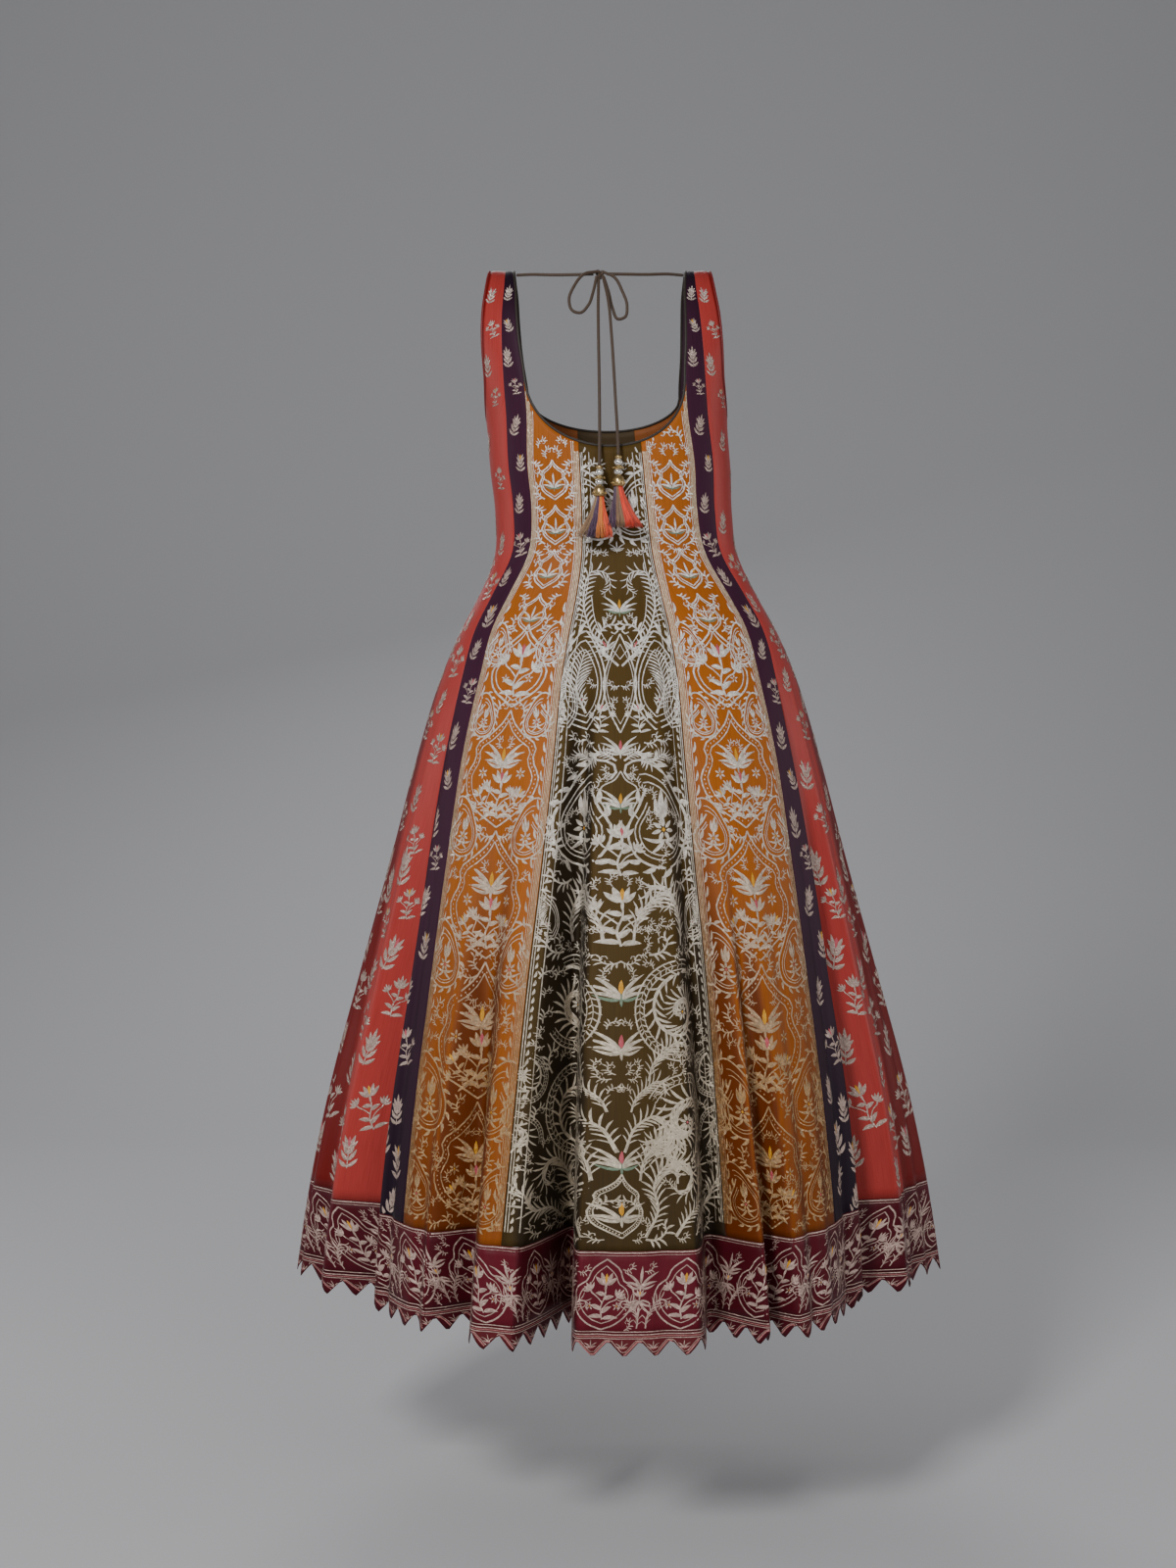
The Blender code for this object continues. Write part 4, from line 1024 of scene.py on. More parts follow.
def points_figure(cloth, count):
    """Stripes on the tape, and in each point a piped edge, an inner line and a small palmette."""
    share = np.linspace(-0.9995, 0.9995, 16 * count + 1)
    half = cloth.half_width(BORDER_BOTTOM)
    across = share * half
    high = np.interp(share, cloth.share, cloth.tops)
    low = np.interp(share, cloth.share, cloth.bottoms)
    parts = []
    for down, width, tint in ((0.0010, 0.0007, ZARI), (0.0032, 0.0005, PIPING), (0.0052, 0.0006, ZARI)):
        parts.append(line(np.stack([across, high - down], axis=1), width, tint))
    for up, width, tint in ((0.0013, 0.0011, PIPING), (0.0042, 0.0004, ZARI)):
        parts.append(line(np.stack([across, np.minimum(low + up, high - 0.0072)], axis=1), width, tint))
    tips = (np.arange(count) + 0.5) / count * 2.0 - 1.0
    base = np.interp(tips, cloth.share, cloth.bottoms)
    parts.append(put(palmette(5, 70.0, ZARI, PIPING), tips * half, base + 0.0065, 0.0115))
    return join(parts)


# ---- shaders ----
class Value:
    """A shader socket that adds a Math node wherever it is used in a Python expression."""

    def __init__(self, graph, socket):
        self.graph, self.socket = graph, socket

    def math(self, operation, first, second):
        """The operation on two sockets or numbers."""
        node = self.graph.node("ShaderNodeMath", {"operation": operation}, {0: first, 1: second})
        return Value(self.graph, node.outputs[0])

    def __add__(self, other):
        return self.math("ADD", self, other)

    def __sub__(self, other):
        return self.math("SUBTRACT", self, other)

    def __mul__(self, other):
        return self.math("MULTIPLY", self, other)

    def __rsub__(self, other):
        return self.math("SUBTRACT", other, self)

    __radd__ = __add__
    __rmul__ = __mul__


class Graph:
    """The nodes of one material."""

    def __init__(self, name):
        self.material = bpy.data.materials.new(name)
        self.material.use_nodes = True
        self.tree = self.material.node_tree
        self.shader = self.tree.nodes["Principled BSDF"]

    def node(self, kind, settings, values):
        """A node of this kind, its settings set first, then its sockets' values or links."""
        made = self.tree.nodes.new(kind)
        for name, setting in settings.items():
            setattr(made, name, setting)
        for key, value in values.items():
            self.feed(made.inputs[key], value)
        return made

    def feed(self, socket, value):
        """A link where the value is a socket, or else its default."""
        if isinstance(value, Value):
            value = value.socket
        if isinstance(value, bpy.types.NodeSocket):
            self.tree.links.new(value, socket)
        elif isinstance(value, tuple) and len(value) == 3 and socket.type == "RGBA":
            socket.default_value = (*value, 1.0)
        else:
            socket.default_value = value

    def set(self, **values):
        """Sockets of the shader, their names written with _ for a space."""
        for name, value in values.items():
            self.feed(self.shader.inputs[name.replace("_", " ")], value)

    def field(self, name, output="Fac"):
        """One of the mesh's own fields."""
        made = self.node("ShaderNodeAttribute", {"attribute_name": name}, {})
        return Value(self, made.outputs[output])

    def mix(self, share, first, second):
        """The first colour at share 0 and the second at share 1."""
        made = self.node("ShaderNodeMix", {"data_type": "RGBA", "blend_type": "MIX"}, {})
        for key, value in ((0, share), (6, first), (7, second)):
            self.feed(made.inputs[key], value)
        return made.outputs[2]

    def plan(self, across, up):
        """The mesh's own plan, stretched by these factors."""
        uv = self.node("ShaderNodeUVMap", {"uv_map": "plan"}, {}).outputs["UV"]
        made = self.node("ShaderNodeVectorMath", {"operation": "MULTIPLY"}, {0: uv, 1: (across, up, 1.0)})
        return made.outputs[0]

    def noise(self, vector, scale=1.0, detail=2.0):
        """Soft noise, 0 to 1."""
        made = self.node("ShaderNodeTexNoise", {}, {"Vector": vector, "Scale": scale, "Detail": detail})
        return Value(self, made.outputs["Fac"])

    def bump(self, height, strength, distance):
        """The normal of a surface raised by height times distance."""
        made = self.node("ShaderNodeBump", {}, {"Strength": strength, "Distance": distance, "Height": height})
        return made.outputs["Normal"]


# Repeats a metre, across and along the cloth, of each noise.
SLUBS = (900.0, 26.0)
CLOUDS = (14.0, 5.0)
WEAVE = (1500.0, 1500.0)
RIBS = (1900.0, 420.0)
PATCHES = (170.0, 240.0)
# Colours of the metal thread in its dull patches, which are partly wear and partly the gaps between painted glints, and
# between its ribs.
WORN_UNLIT = (0.32, 0.26, 0.18)
BETWEEN = (0.20, 0.16, 0.11)


def silk(name, colour, shaded, roughness, sheen=0.02):
    """Woven silk: its darker second colour as painted shade where the shade field asks, slubs along the warp and a fine
    weave; duller on its reverse.
    """
    graph = Graph(name)
    colour, shaded = tuple(colour), tuple(shaded)
    slub = graph.noise(graph.plan(*SLUBS), detail=3.0)
    cloud = graph.noise(graph.plan(*CLOUDS))
    # The shade field is painted shade; the cloud noise adds colour that varies at random.
    share = graph.field("shade") * 1.1 + (cloud - 0.5) * 0.35
    body = graph.mix(share, colour, shaded)
    darker = tuple(0.62 * part for part in shaded)
    body = graph.mix((slub - 0.38) * 0.75, body, darker)
    body = graph.mix(graph.field("reverse") * 0.55, body, tuple(0.45 * part + 0.03 for part in colour))
    weave_height = graph.noise(graph.plan(*WEAVE), detail=1.0) * 0.6 + slub * 0.6
    graph.set(Base_Color=body, Roughness=roughness, Sheen_Weight=sheen, Sheen_Roughness=0.3, Specular_IOR_Level=0.12)
    graph.set(Normal=graph.bump(weave_height, 0.35, 0.0004))
    return graph.material


def thread(name):
    """Metal-wrapped and silk thread: its colour and metal come from the strokes; it is dulled, as wear, and bright, as
    painted glints, by turns.
    """
    graph = Graph(name)
    ribs = graph.noise(graph.plan(*RIBS), detail=1.0)
    patches = graph.noise(graph.plan(*PATCHES), detail=1.0)
    tint = graph.field("tint", "Color").socket
    # Patches of wear and painted glints: the dull colour where the noise is low, the thread's own colour where it is
    # high.
    wear_and_glints = graph.mix((patches - 0.32) * 3.2, WORN_UNLIT, tint)
    body = graph.mix((ribs - 0.50) * 1.2, wear_and_glints, BETWEEN)
    metal = graph.field("metal")
    graph.set(Base_Color=graph.mix(metal * 1.6, tint, body), Metallic=metal, Roughness=0.24, Specular_IOR_Level=0.5)
    graph.set(Normal=graph.bump(ribs * 0.4 + patches, 1.0, 0.0030))
    return graph.material


def plain(name, colour, roughness, metallic=0.0, grain=0.0, **more):
    """One colour, with fine grain in its height where grain is over 0."""
    graph = Graph(name)
    graph.set(Base_Color=tuple(colour), Roughness=roughness, Metallic=metallic, **more)
    if grain:
        place = graph.node("ShaderNodeTexCoord", {}, {}).outputs["Object"]
        graph.set(Normal=graph.bump(graph.noise(place, 900.0), grain, 0.0004))
    return graph.material


def floss(name):
    """Silk floss whose colour comes from its strand."""
    graph = Graph(name)
    graph.set(Base_Color=graph.field("tint", "Color").socket, Roughness=0.55, Sheen_Weight=0.3)
    return graph.material


def found(name, make, *facts, **more):
    """The material of that name, made on first use."""
    return bpy.data.materials.get(name) or make(name, *facts, **more)


# ---- settings ----
def size(name, about, default, low, high):
    """A length in metres."""
    return bpy.props.FloatProperty(
        name=name, description=about, default=default, min=low, max=high, unit="LENGTH", subtype="DISTANCE"
    )


def colour(name, about, default):
    """A linear colour."""
    return bpy.props.FloatVectorProperty(
        name=name, description=about, default=default, size=3, min=0.0, max=1.0, subtype="COLOR"
    )


class GownClothSettings(bpy.types.PropertyGroup):
    # Each colour's second setting is the same silk in painted shade, taken in folds and towards the hem.
    olive: colour("Olive", "Ground of the centre panels", (0.074, 0.042, 0.008))
    olive_shaded: colour("Olive, deep", "The same in the folds", (0.022, 0.014, 0.006))
    orange: colour("Orange", "Ground of the panels beside the centre", (0.370, 0.102, 0.011))
    orange_shaded: colour("Orange, deep", "The same in the folds", (0.120, 0.024, 0.002))
    purple: colour("Purple", "Ground of the inner strap panels", (0.046, 0.010, 0.028))
    purple_shaded: colour("Purple, deep", "The same in the folds", (0.012, 0.004, 0.012))
    # The coral is the cloth where it faces the light, its sheen painted into the colour; its second colour is the same
    # cloth in painted shade.
    coral: colour("Coral", "Ground of the outer strap panels where they face out", (0.400, 0.046, 0.040))
    coral_shaded: colour("Coral, deep", "The shot silk's second colour, in the folds", (0.150, 0.005, 0.004))
    maroon: colour("Maroon", "Ground of the hem border", (0.155, 0.010, 0.021))
    maroon_shaded: colour("Maroon, deep", "The same in the folds", (0.062, 0.004, 0.009))
    points: colour("Points", "Ground of the pointed edging", (0.150, 0.024, 0.026))


class GownTrimSettings(bpy.types.PropertyGroup):
    cord: colour("Cord", "Colour of the tie", (0.046, 0.023, 0.009))
    piping: colour("Piping", "Colour of the neck and armhole bindings", (0.020, 0.013, 0.008))
    gilt: colour("Gilt", "Metal of the bead caps", (0.560, 0.400, 0.180))
    cord_width: size("Cord width", "Thickness of the tie", 0.0038, 0.002, 0.006)
    strand_width: size("Strand width", "Thickness of a tassel's strand", 0.0006, 0.0002, 0.001)
    strands: bpy.props.IntProperty(
        name="Strands", description="Strands in each tassel", default=340, min=20, max=600
    )


class GownStageSettings(bpy.types.PropertyGroup):
    floor: colour("Floor", "Colour of the floor and the backdrop", (0.49, 0.49, 0.505))
    clearance: size("Clearance", "Height of the hem's points above the floor", 0.26, 0.0, 1.0)
    distance: size("Distance", "From the camera to the shoulders' middle", 3.04, 1.0, 8.0)
    camera_height: size("Camera height", "Camera above the shoulders' middle", -0.526, -2.0, 2.0)


# ---- operators ----
# Rows of each panel's grid; the straps' rows stand closer towards the shoulder, as the rise power of their share.
PANEL_ROWS = 122
STRAP_ROWS = 140
STRAP_RISE = 1.6
PANEL_MARGIN = 0.0006
# A height above the shoulders, so that the metal thread has some of its painted shade and tint there already.
SHADE_TINT_ALL_OVER = 0.40
# The camera's film and lens in millimetres, its metres aside and its degrees below level.
SENSOR = 36.0
LENS = 56.25
CAMERA_ASIDE = 0.0144
CAMERA_DIP = 2.0
# Radius of the backdrop's bend into the floor, and what every light faces.
COVE = 1.6
LIGHT_AIM = (0.0, 0.0, -0.6)


def halves(colour_name):
    """(half, hand, start, end) of a colour's four panels; the front's numbers count on round from the side."""
    start = {"orange": 1.0, "purple": 2.0, "coral": 3.0}[colour_name]
    back, front = (start, start + 1.0), (7.0 - start, 8.0 - start)
    return [
        ("back", "right", back[0], back[1]),
        ("back", "left", -back[1], -back[0]),
        ("front", "right", max(front[0], FRONT_SIDE), front[1]),
        ("front", "left", -front[1], -max(front[0], FRONT_SIDE)),
    ]


def border_top(around):
    """Height of the seam between the panels and the hem border."""
    return BORDER_TOP + hem_drop(around)


def border_low(around):
    """Height of the seam between the hem border and its edging."""
    return BORDER_BOTTOM + hem_drop(around)


def shoulder(around):
    """Height of the straps' top line."""
    return 0.0 * around


def neckline(around):
    """Height of the neckline for places that may be counted past 8."""
    return scoop(wrap(around))


def finish_panel(cloth, label, slot, ground, figure, margin, shade_tint, begin=SHADE_TINT_BEGINS):
    """The shell and its figure on the gown; it also works out the longest run down the cloth and its true area, and
    keeps neither.
    """
    piece = settle(cloth.add("cloth_" + label, ground), slot, label)
    zari = weave(cloth, figure, "zari_" + label, found("thread", thread), margin, shade_tint, begin)
    pieces = [settle(zari, slot)]
    length = float(np.linalg.norm(np.diff(cloth.points, axis=0), axis=-1).sum(axis=0).max())
    cloth.area()


def colour_panels(name, top, rows, columns, ground, figure, thread_shade_tint, begin=SHADE_TINT_BEGINS, **form):
    """A colour's four panels; the metal thread turns downwards to the given colour, partly its tint on that ground and
    partly painted shade.
    """
    for half, hand, start, end in halves(name):
        cloth = Cloth(start, None, end, top, border_top, rows, columns, **form)
        label = f"panel_{half}_{name}_{hand}"
        finish_panel(cloth, label, f"{name}_brocade", ground, figure(cloth), PANEL_MARGIN, thread_shade_tint, begin)


class GOWN_OT_stage(bpy.types.Operator):
    """Camera, soft lights, floor and backdrop"""

    bl_idname = "gown.stage"
    bl_label = "Stage"

    def execute(self, context):
        facts = context.scene.gown_stage
        low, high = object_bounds()
        ground = low.z - facts.clearance
        data = bpy.data.cameras.new("camera")
        data.sensor_width, data.lens = SENSOR, LENS
        camera = bpy.data.objects.new("camera", data)
        camera.location = (CAMERA_ASIDE, facts.distance, facts.camera_height)
        camera.rotation_euler = (np.radians(90.0 - CAMERA_DIP), 0.0, np.pi)
        context.scene.collection.objects.link(camera)
        context.scene.camera = camera
        bend = np.linspace(0.15, np.pi / 2, 12)
        sweep = np.concatenate([[12.0, 6.0, 0.0, -2.4], -2.4 - COVE * np.sin(bend), [-4.0]])
        rise = np.concatenate([[0.0] * 4, COVE * (1.0 - np.cos(bend)), [9.0]])
        across = np.array([-14.0, -5.0, 5.0, 14.0])
        points = np.stack(np.broadcast_arrays(across[None, :], sweep[:, None], ground + rise[:, None]), axis=-1)
        quads = grid_quads(*points.shape[:2])
        floor = add_mesh("floor", points.reshape(-1, 3), quads, found("floor", plain, facts.floor, 0.8))
        floor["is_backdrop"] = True
        self.lights(context, high)
        return {"FINISHED"}

    def lights(self, context, high):
        """A key over the camera, a broad fill, one light from each side and one on the gown's front."""
        # name, place, size, watts
        rows = [
            ("key", (1.3, 3.2, high.z + 1.3), 0.75, 112.0),
            ("fill", (-1.6, 3.6, high.z + 0.2), 1.6, 36.0),
            ("side_right", (-2.6, -0.3, -0.3), 1.3, 14.0),
            ("side_left", (2.6, -0.3, -0.3), 1.3, 12.0),
            ("front", (0.6, -3.0, high.z + 1.2), 2.0, 38.0),
        ]
        for name, spot, across, power in rows:
            data = bpy.data.lights.new(name, "AREA")
            data.size, data.energy = across, power
            light = bpy.data.objects.new(name, data)
            light.location = spot
            aim = np.array(LIGHT_AIM) - np.array(spot)
            yaw = np.arctan2(aim[1], aim[0]) - np.pi / 2
            light.rotation_euler = (np.pi / 2 + np.arctan2(aim[2], np.hypot(aim[0], aim[1])), 0.0, yaw)
            context.scene.collection.objects.link(light)
            light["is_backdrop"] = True
        world = bpy.data.worlds.new("studio")
        world.use_nodes = True
        sky = world.node_tree.nodes["Background"].inputs
        sky[0].default_value, sky[1].default_value = (0.80, 0.81, 0.84, 1.0), 0.19
        context.scene.world = world


def corner(node, *ends):
    """A place in a node's box: ends are shares of the way from its low corner to its high one."""
    low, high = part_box(node)
    return tuple(low[k] + (high[k] - low[k]) * ends[k] for k in range(3))


CORD_STEP = 0.003
TUBE_SIDES = 10
KNOT_RADIUS = 0.0019
KNOT_SIZE = (0.0021, 0.0024, 0.0020)


def cord_curve(name, points, width, finish):
    """A round cord along a smooth route through the points."""
    points = np.array(points)
    run = run_length(points)
    fine = np.linspace(0.0, run[-1], max(12, int(run[-1] / CORD_STEP)))
    route = np.stack([smooth(fine, run, points[:, k]) for k in range(3)], axis=1)
    data = bpy.data.curves.new(name, "CURVE")
    data.dimensions = "3D"
    data.bevel_depth = width / 2
    data.bevel_resolution = 3
    data.use_fill_caps = True
    spline = data.splines.new("POLY")
    spline.points.add(len(route) - 1)
    spline.points.foreach_set("co", np.append(route, np.ones((len(route), 1)), axis=1).ravel())
    data.materials.append(finish)
    made = bpy.data.objects.new(name, data)
    bpy.context.scene.collection.objects.link(made)
    length = float(np.linalg.norm(np.diff(route, axis=0), axis=1).sum())
    return made, route, length


def closed_tube(name, route, radius, finish):
    """A tube along a closed route: a ring of points at each place, in its run's normal plane."""
    run = unit(np.roll(route, -1, axis=0) - np.roll(route, 1, axis=0))
    first = unit(np.cross(run, np.array([0.31, 0.17, 0.93])))
    second = np.cross(run, first)
    angle = circle(TUBE_SIDES)[:, None]
    rings = route[:, None] + radius * (first[:, None] * np.cos(angle) + second[:, None] * np.sin(angle))
    place = np.arange(len(route) * TUBE_SIDES).reshape(-1, TUBE_SIDES)
    return add_mesh(name, rings.reshape(-1, 3), tube_quads(place, np.roll(place, -1, axis=0)), finish)


class GOWN_OT_tie(bpy.types.Operator):
    """The cord across the back, its bow and its tails"""

    bl_idname = "gown.tie"
    bl_label = "Tie"

    def execute(self, context):
        facts = context.scene.gown_trim
        finish = found("cord", plain, facts.cord, 0.62, 0.0, 0.5, Sheen_Weight=0.2)
        knot = np.array(corner("bow_knot", 0.5, 0.5, 0.5))
        t = circle(72)
        wound = [np.sin(t) + 1.1 * np.sin(2 * t), -0.9 * np.sin(3 * t), np.cos(t) - 1.5 * np.cos(2 * t)]
        route = knot + np.stack(wound, axis=1) * KNOT_SIZE
        settle(closed_tube("bow_knot_cord", route, KNOT_RADIUS, finish), "tie_cloth", "bow_knot")
        rows = [
            ("tie_left", [(0.1008, 0.0285, -0.0095), (0.084, 0.042, -0.0110), (0.056, 0.054, -0.0135),
                          (0.028, 0.059, -0.0140), (0.0078, 0.0602, -0.0135)], "knot"),
            ("tie_right", [(-0.1008, 0.0285, -0.0095), (-0.084, 0.042, -0.0105), (-0.056, 0.054, -0.0130),
                           (-0.028, 0.059, -0.0135), (-0.0078, 0.0602, -0.0135)], "knot"),
            ("bow_left", [(0.0040, 0.0620, -0.0110), (0.0190, 0.0690, -0.0150), (0.0310, 0.0745, -0.0300),
                          (0.0372, 0.0790, -0.0480), (0.0330, 0.0820, -0.0610), (0.0235, 0.0825, -0.0635),
                          (0.0140, 0.0800, -0.0540), (0.0082, 0.0740, -0.0370), (0.0040, 0.0660, -0.0175)], "object"),
            ("bow_right", [(-0.0040, 0.0620, -0.0115), (-0.0170, 0.0690, -0.0185), (-0.0265, 0.0755, -0.0360),
                           (-0.0325, 0.0810, -0.0560), (-0.0300, 0.0840, -0.0690), (-0.0215, 0.0850, -0.0715),
                           (-0.0150, 0.0820, -0.0580), (-0.0105, 0.0750, -0.0380), (-0.0045, 0.0660, -0.0180)],
             "object"),
            ("tail_left", [(0.0015, 0.0625, -0.0165), (0.0022, 0.0790, -0.0500), (0.0020, 0.0960, -0.0900),
                           (0.0014, 0.1070, -0.1300), (0.0008, 0.1140, -0.1750), (0.0006, 0.1185, -0.2150),
                           (0.0006, 0.1235, -0.2490), (0.0006, 0.1245, -0.2800)], "fitting"),
            ("tail_right", [(-0.0035, 0.0650, -0.0165), (-0.0100, 0.0850, -0.0500), (-0.0135, 0.0990, -0.0900),
                            (-0.0160, 0.1090, -0.1300), (-0.0185, 0.1160, -0.1750), (-0.0205, 0.1200, -0.2100),
                            (-0.0215, 0.1240, -0.2370), (-0.0215, 0.1252, -0.2680)], "fitting"),
        ]
        for node, points, far_end in rows:
            made, route, length = cord_curve("cord_" + node, points, facts.cord_width, finish)
            settle(made, "tie_cloth", node)
            pieces = []
            if far_end == "fitting":
                pieces = self.ending(context, node.split("_")[1])
        return {"FINISHED"}

    def ending(self, context, hand):
        """A tail's bead cluster and tassel, in their nodes' boxes."""
        facts = context.scene.gown_trim
        gilt = found("gilt", plain, facts.gilt, 0.28, 1.0)
        crystal = found("crystal", plain, (0.72, 0.70, 0.66), 0.12, 0.75)
        top = np.array(corner(f"beads_{hand}", 0.5, 0.5, 1.0))
        low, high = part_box(f"beads_{hand}")
        tall = high.z - low.z
        caps = [
            (0.00, 0.0021), (0.04, 0.0040), (0.10, 0.0044), (0.12, 0.0026), (0.36, 0.0026), (0.37, 0.0046),
            (0.41, 0.0050), (0.44, 0.0030), (0.66, 0.0030), (0.70, 0.0058), (0.80, 0.0068), (0.92, 0.0074),
            (1.00, 0.0070),
        ]
        gems = [(0.12, 0.0020), (0.15, 0.0042), (0.24, 0.0054), (0.33, 0.0042), (0.36, 0.0020)]
        lower = [(0.44, 0.0020), (0.48, 0.0046), (0.56, 0.0058), (0.63, 0.0044), (0.66, 0.0020)]
        pieces = [
            settle(turned(f"cap_{hand}", top, caps, tall, gilt, 24, 0.16), "beads", f"beads_{hand}"),
            settle(turned(f"gem_{hand}", top, gems, tall, crystal, 8), "beads"),
            settle(turned(f"gem_low_{hand}", top, lower, tall, crystal, 8), "beads"),
        ]
        ring = circle(9)
        for level, wide, name in ((0.42, 0.0060, "pearls"), (0.90, 0.0078, "bells")):
            spots = top + np.stack([wide * np.cos(ring), wide * np.sin(ring), 0 * ring - level * tall], axis=1)
            pieces.append(settle(balls(f"{name}_{hand}", spots, 0.0012, gilt), "beads"))
        pieces.append(settle(tassel(hand, facts), "tassel_silk", f"tassel_{hand}"))
        return pieces


def fan(centre, ring, way):
    """Triangles from one point to a ring, wound along it (1) or against it (-1)."""
    pairs = np.stack([ring, np.roll(ring, -1)], axis=1)[:, ::way]
    return np.concatenate([np.full((len(ring), 1), centre), pairs], axis=1)


PETALS = 8
PETALS_FROM = 0.66
BALL_RINGS = 6
BALL_SIDES = 8


def turned(name, top, profile, tall, finish, sides, scallop=0.0):
    """A profile of (share down, radius) turned about a plumb line; scallop waves the lower radii in petals."""
    angle = circle(sides)
    share, radius = np.array(profile).T
    wave = 1.0 + scallop * np.clip(share - PETALS_FROM, 0.0, 1.0)[:, None] * 3.0 * np.cos(PETALS * angle) * 0.5
    x, y = radius[:, None] * wave * np.cos(angle), radius[:, None] * wave * np.sin(angle)
    rings = np.stack([x, y, np.broadcast_to(-share[:, None] * tall, x.shape)], axis=-1) + top
    ends = np.array([top, top - (0.0, 0.0, share[-1] * tall)])
    ends[0, 2] -= share[0] * tall
    points = np.concatenate([rings.reshape(-1, 3), ends])
    place = np.arange(len(profile) * sides).reshape(-1, sides)
    lids = fan(place.size, place[0], 1)
    feet = fan(place.size + 1, place[-1], -1)
    return add_mesh(name, points, ring_triangles(place, np.concatenate([lids, feet])), finish)


def balls(name, spots, radius, finish):
    """A small ball at each spot, its poles closed by single points."""
    theta = np.linspace(0.0, np.pi, BALL_RINGS + 1)[1:-1, None]
    phi = circle(BALL_SIDES)
    body = [np.sin(theta) * np.cos(phi), np.sin(theta) * np.sin(phi), np.cos(theta)]
    body = np.stack(np.broadcast_arrays(*body), axis=-1).reshape(-1, 3)
    shape = np.concatenate([body, [(0, 0, 1), (0, 0, -1)]]) * radius
    place = np.arange(len(body)).reshape(-1, BALL_SIDES)
    poles = np.concatenate([fan(len(body), place[0], 1), fan(len(body) + 1, place[-1], -1)])
    faces = ring_triangles(place, poles)
    points = (shape[None] + spots[:, None]).reshape(-1, 3)
    every = (faces[None] + np.arange(len(spots))[:, None, None] * len(shape)).reshape(-1, 3)
    return add_mesh(name, points, every, finish)


# A strand's thickness from cap to foot, as shares of its width.
STRAND_TAPER = (1.0, 1.0, 1.0, 1.0, 1.0, 0.95, 0.9, 0.8, 0.45)
TASSEL_SEEDS = {"left": 7, "right": 11}
CAP_RADIUS = 0.0048
FOOT_REACH = (0.0225, 0.0085)
# Threads of each tassel, in order across it.
TASSEL_TINTS = {
    "left": [(0.30, 0.17, 0.08), (0.070, 0.022, 0.065), (0.72, 0.21, 0.025), (0.80, 0.085, 0.016)],
    "right": [(0.070, 0.022, 0.065), (0.28, 0.15, 0.07), (0.85, 0.050, 0.015), (0.60, 0.050, 0.018)],
}


def tassel(hand, facts):
    """Loose strands from the cap: each starts on a disc and falls, spreads and waves a little at its foot.

    With t from 0 at the cap to 1 at the foot, place(t) = start * (1 - t) + foot * t**1.4 across and foot * t down,
    and wave * t**2 * sin(9t + phase) is added.
    """
    chance = np.random.default_rng(TASSEL_SEEDS[hand])
    low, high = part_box(f"tassel_{hand}")
    top = np.array(corner(f"beads_{hand}", 0.5, 0.5, 0.0)) + (0.0, 0.0, 0.0030)
    count = facts.strands
    spread = np.sqrt(chance.random(count))
    angle = chance.random(count) * 2 * np.pi
    start = np.stack([CAP_RADIUS * spread * np.cos(angle), CAP_RADIUS * spread * np.sin(angle), 0 * angle], axis=1)
    middle = 0.5 * (low.x + high.x)
    foot_x = (middle + low.x + high.x) / 3.0 - top[0] + FOOT_REACH[0] * spread * np.cos(angle)
    foot_y = FOOT_REACH[1] * spread * np.sin(angle) + 0.001
    fall = -(top[2] - low.z) * (0.90 + 0.095 * chance.random(count))
    foot = np.stack([foot_x, foot_y, fall], axis=1)
    t = np.linspace(0.0, 1.0, len(STRAND_TAPER))[None, :, None]
    phase = chance.random((count, 1, 1)) * 6.3
    wave = (chance.random((count, 1, 3)) - 0.5) * (0.0036, 0.0030, 0.0)
    path = top + start[:, None] * (1 - t) + foot[:, None] * np.concatenate([t**1.4, t**1.4, t], axis=2)
    path = path + wave * t**2 * np.sin(9.0 * t + phase)
    sides = circle(3)
    taper = facts.strand_width * np.array(STRAND_TAPER)[None, :, None, None]
    ring = np.stack([np.cos(sides), np.sin(sides), 0 * sides], axis=1)
    rings = path[:, :, None] + ring[None, None] * taper
    place = np.arange(rings.size // 3).reshape(rings.shape[:3])
    faces = ring_triangles(place, np.concatenate([place[:, 0], place[:, -1, ::-1]]))
    tints = np.array(TASSEL_TINTS[hand])
    order = np.clip((-spread * np.cos(angle) * 0.5 + 0.5) * len(tints), 0, len(tints) - 0.01).astype(int)
    shade = 0.75 + 0.5 * chance.random((count, 1))
    tint = np.concatenate([tints[order] * shade, np.ones((count, 1))], axis=1)
    fields = [("tint", "FLOAT_COLOR", np.repeat(tint, place[0].size, axis=0))]
    return add_mesh(f"strands_{hand}", rings.reshape(-1, 3), faces, found("floss", floss), fields=fields)


class GOWN_OT_centre(bpy.types.Operator):
    """The olive centre panels, back and front"""

    bl_idname = "gown.centre"
    bl_label = "Centre panels"

    def execute(self, context):
        facts = context.scene.gown_cloth
        ground = found("olive silk", silk, facts.olive, facts.olive_shaded, 0.62)
        for half, middle in (("back", 0.0), ("front", 8.0)):
            cloth = Cloth(middle - 1.0, middle, middle + 1.0, neckline, border_top, PANEL_ROWS, 56)
            label, figure = f"panel_{half}_centre", olive_figure(cloth)
            finish_panel(cloth, label, "olive_brocade", ground, figure, PANEL_MARGIN, SHADED_SILVER)
        return {"FINISHED"}


class GOWN_OT_orange(bpy.types.Operator):
    """The four orange panels"""

    bl_idname = "gown.orange"
    bl_label = "Orange panels"

    def execute(self, context):
        facts = context.scene.gown_cloth
        ground = found("orange silk", silk, facts.orange, facts.orange_shaded, 0.55)
        colour_panels("orange", scoop, PANEL_ROWS, 42, ground, orange_figure, SHADED_GOLD)
        return {"FINISHED"}


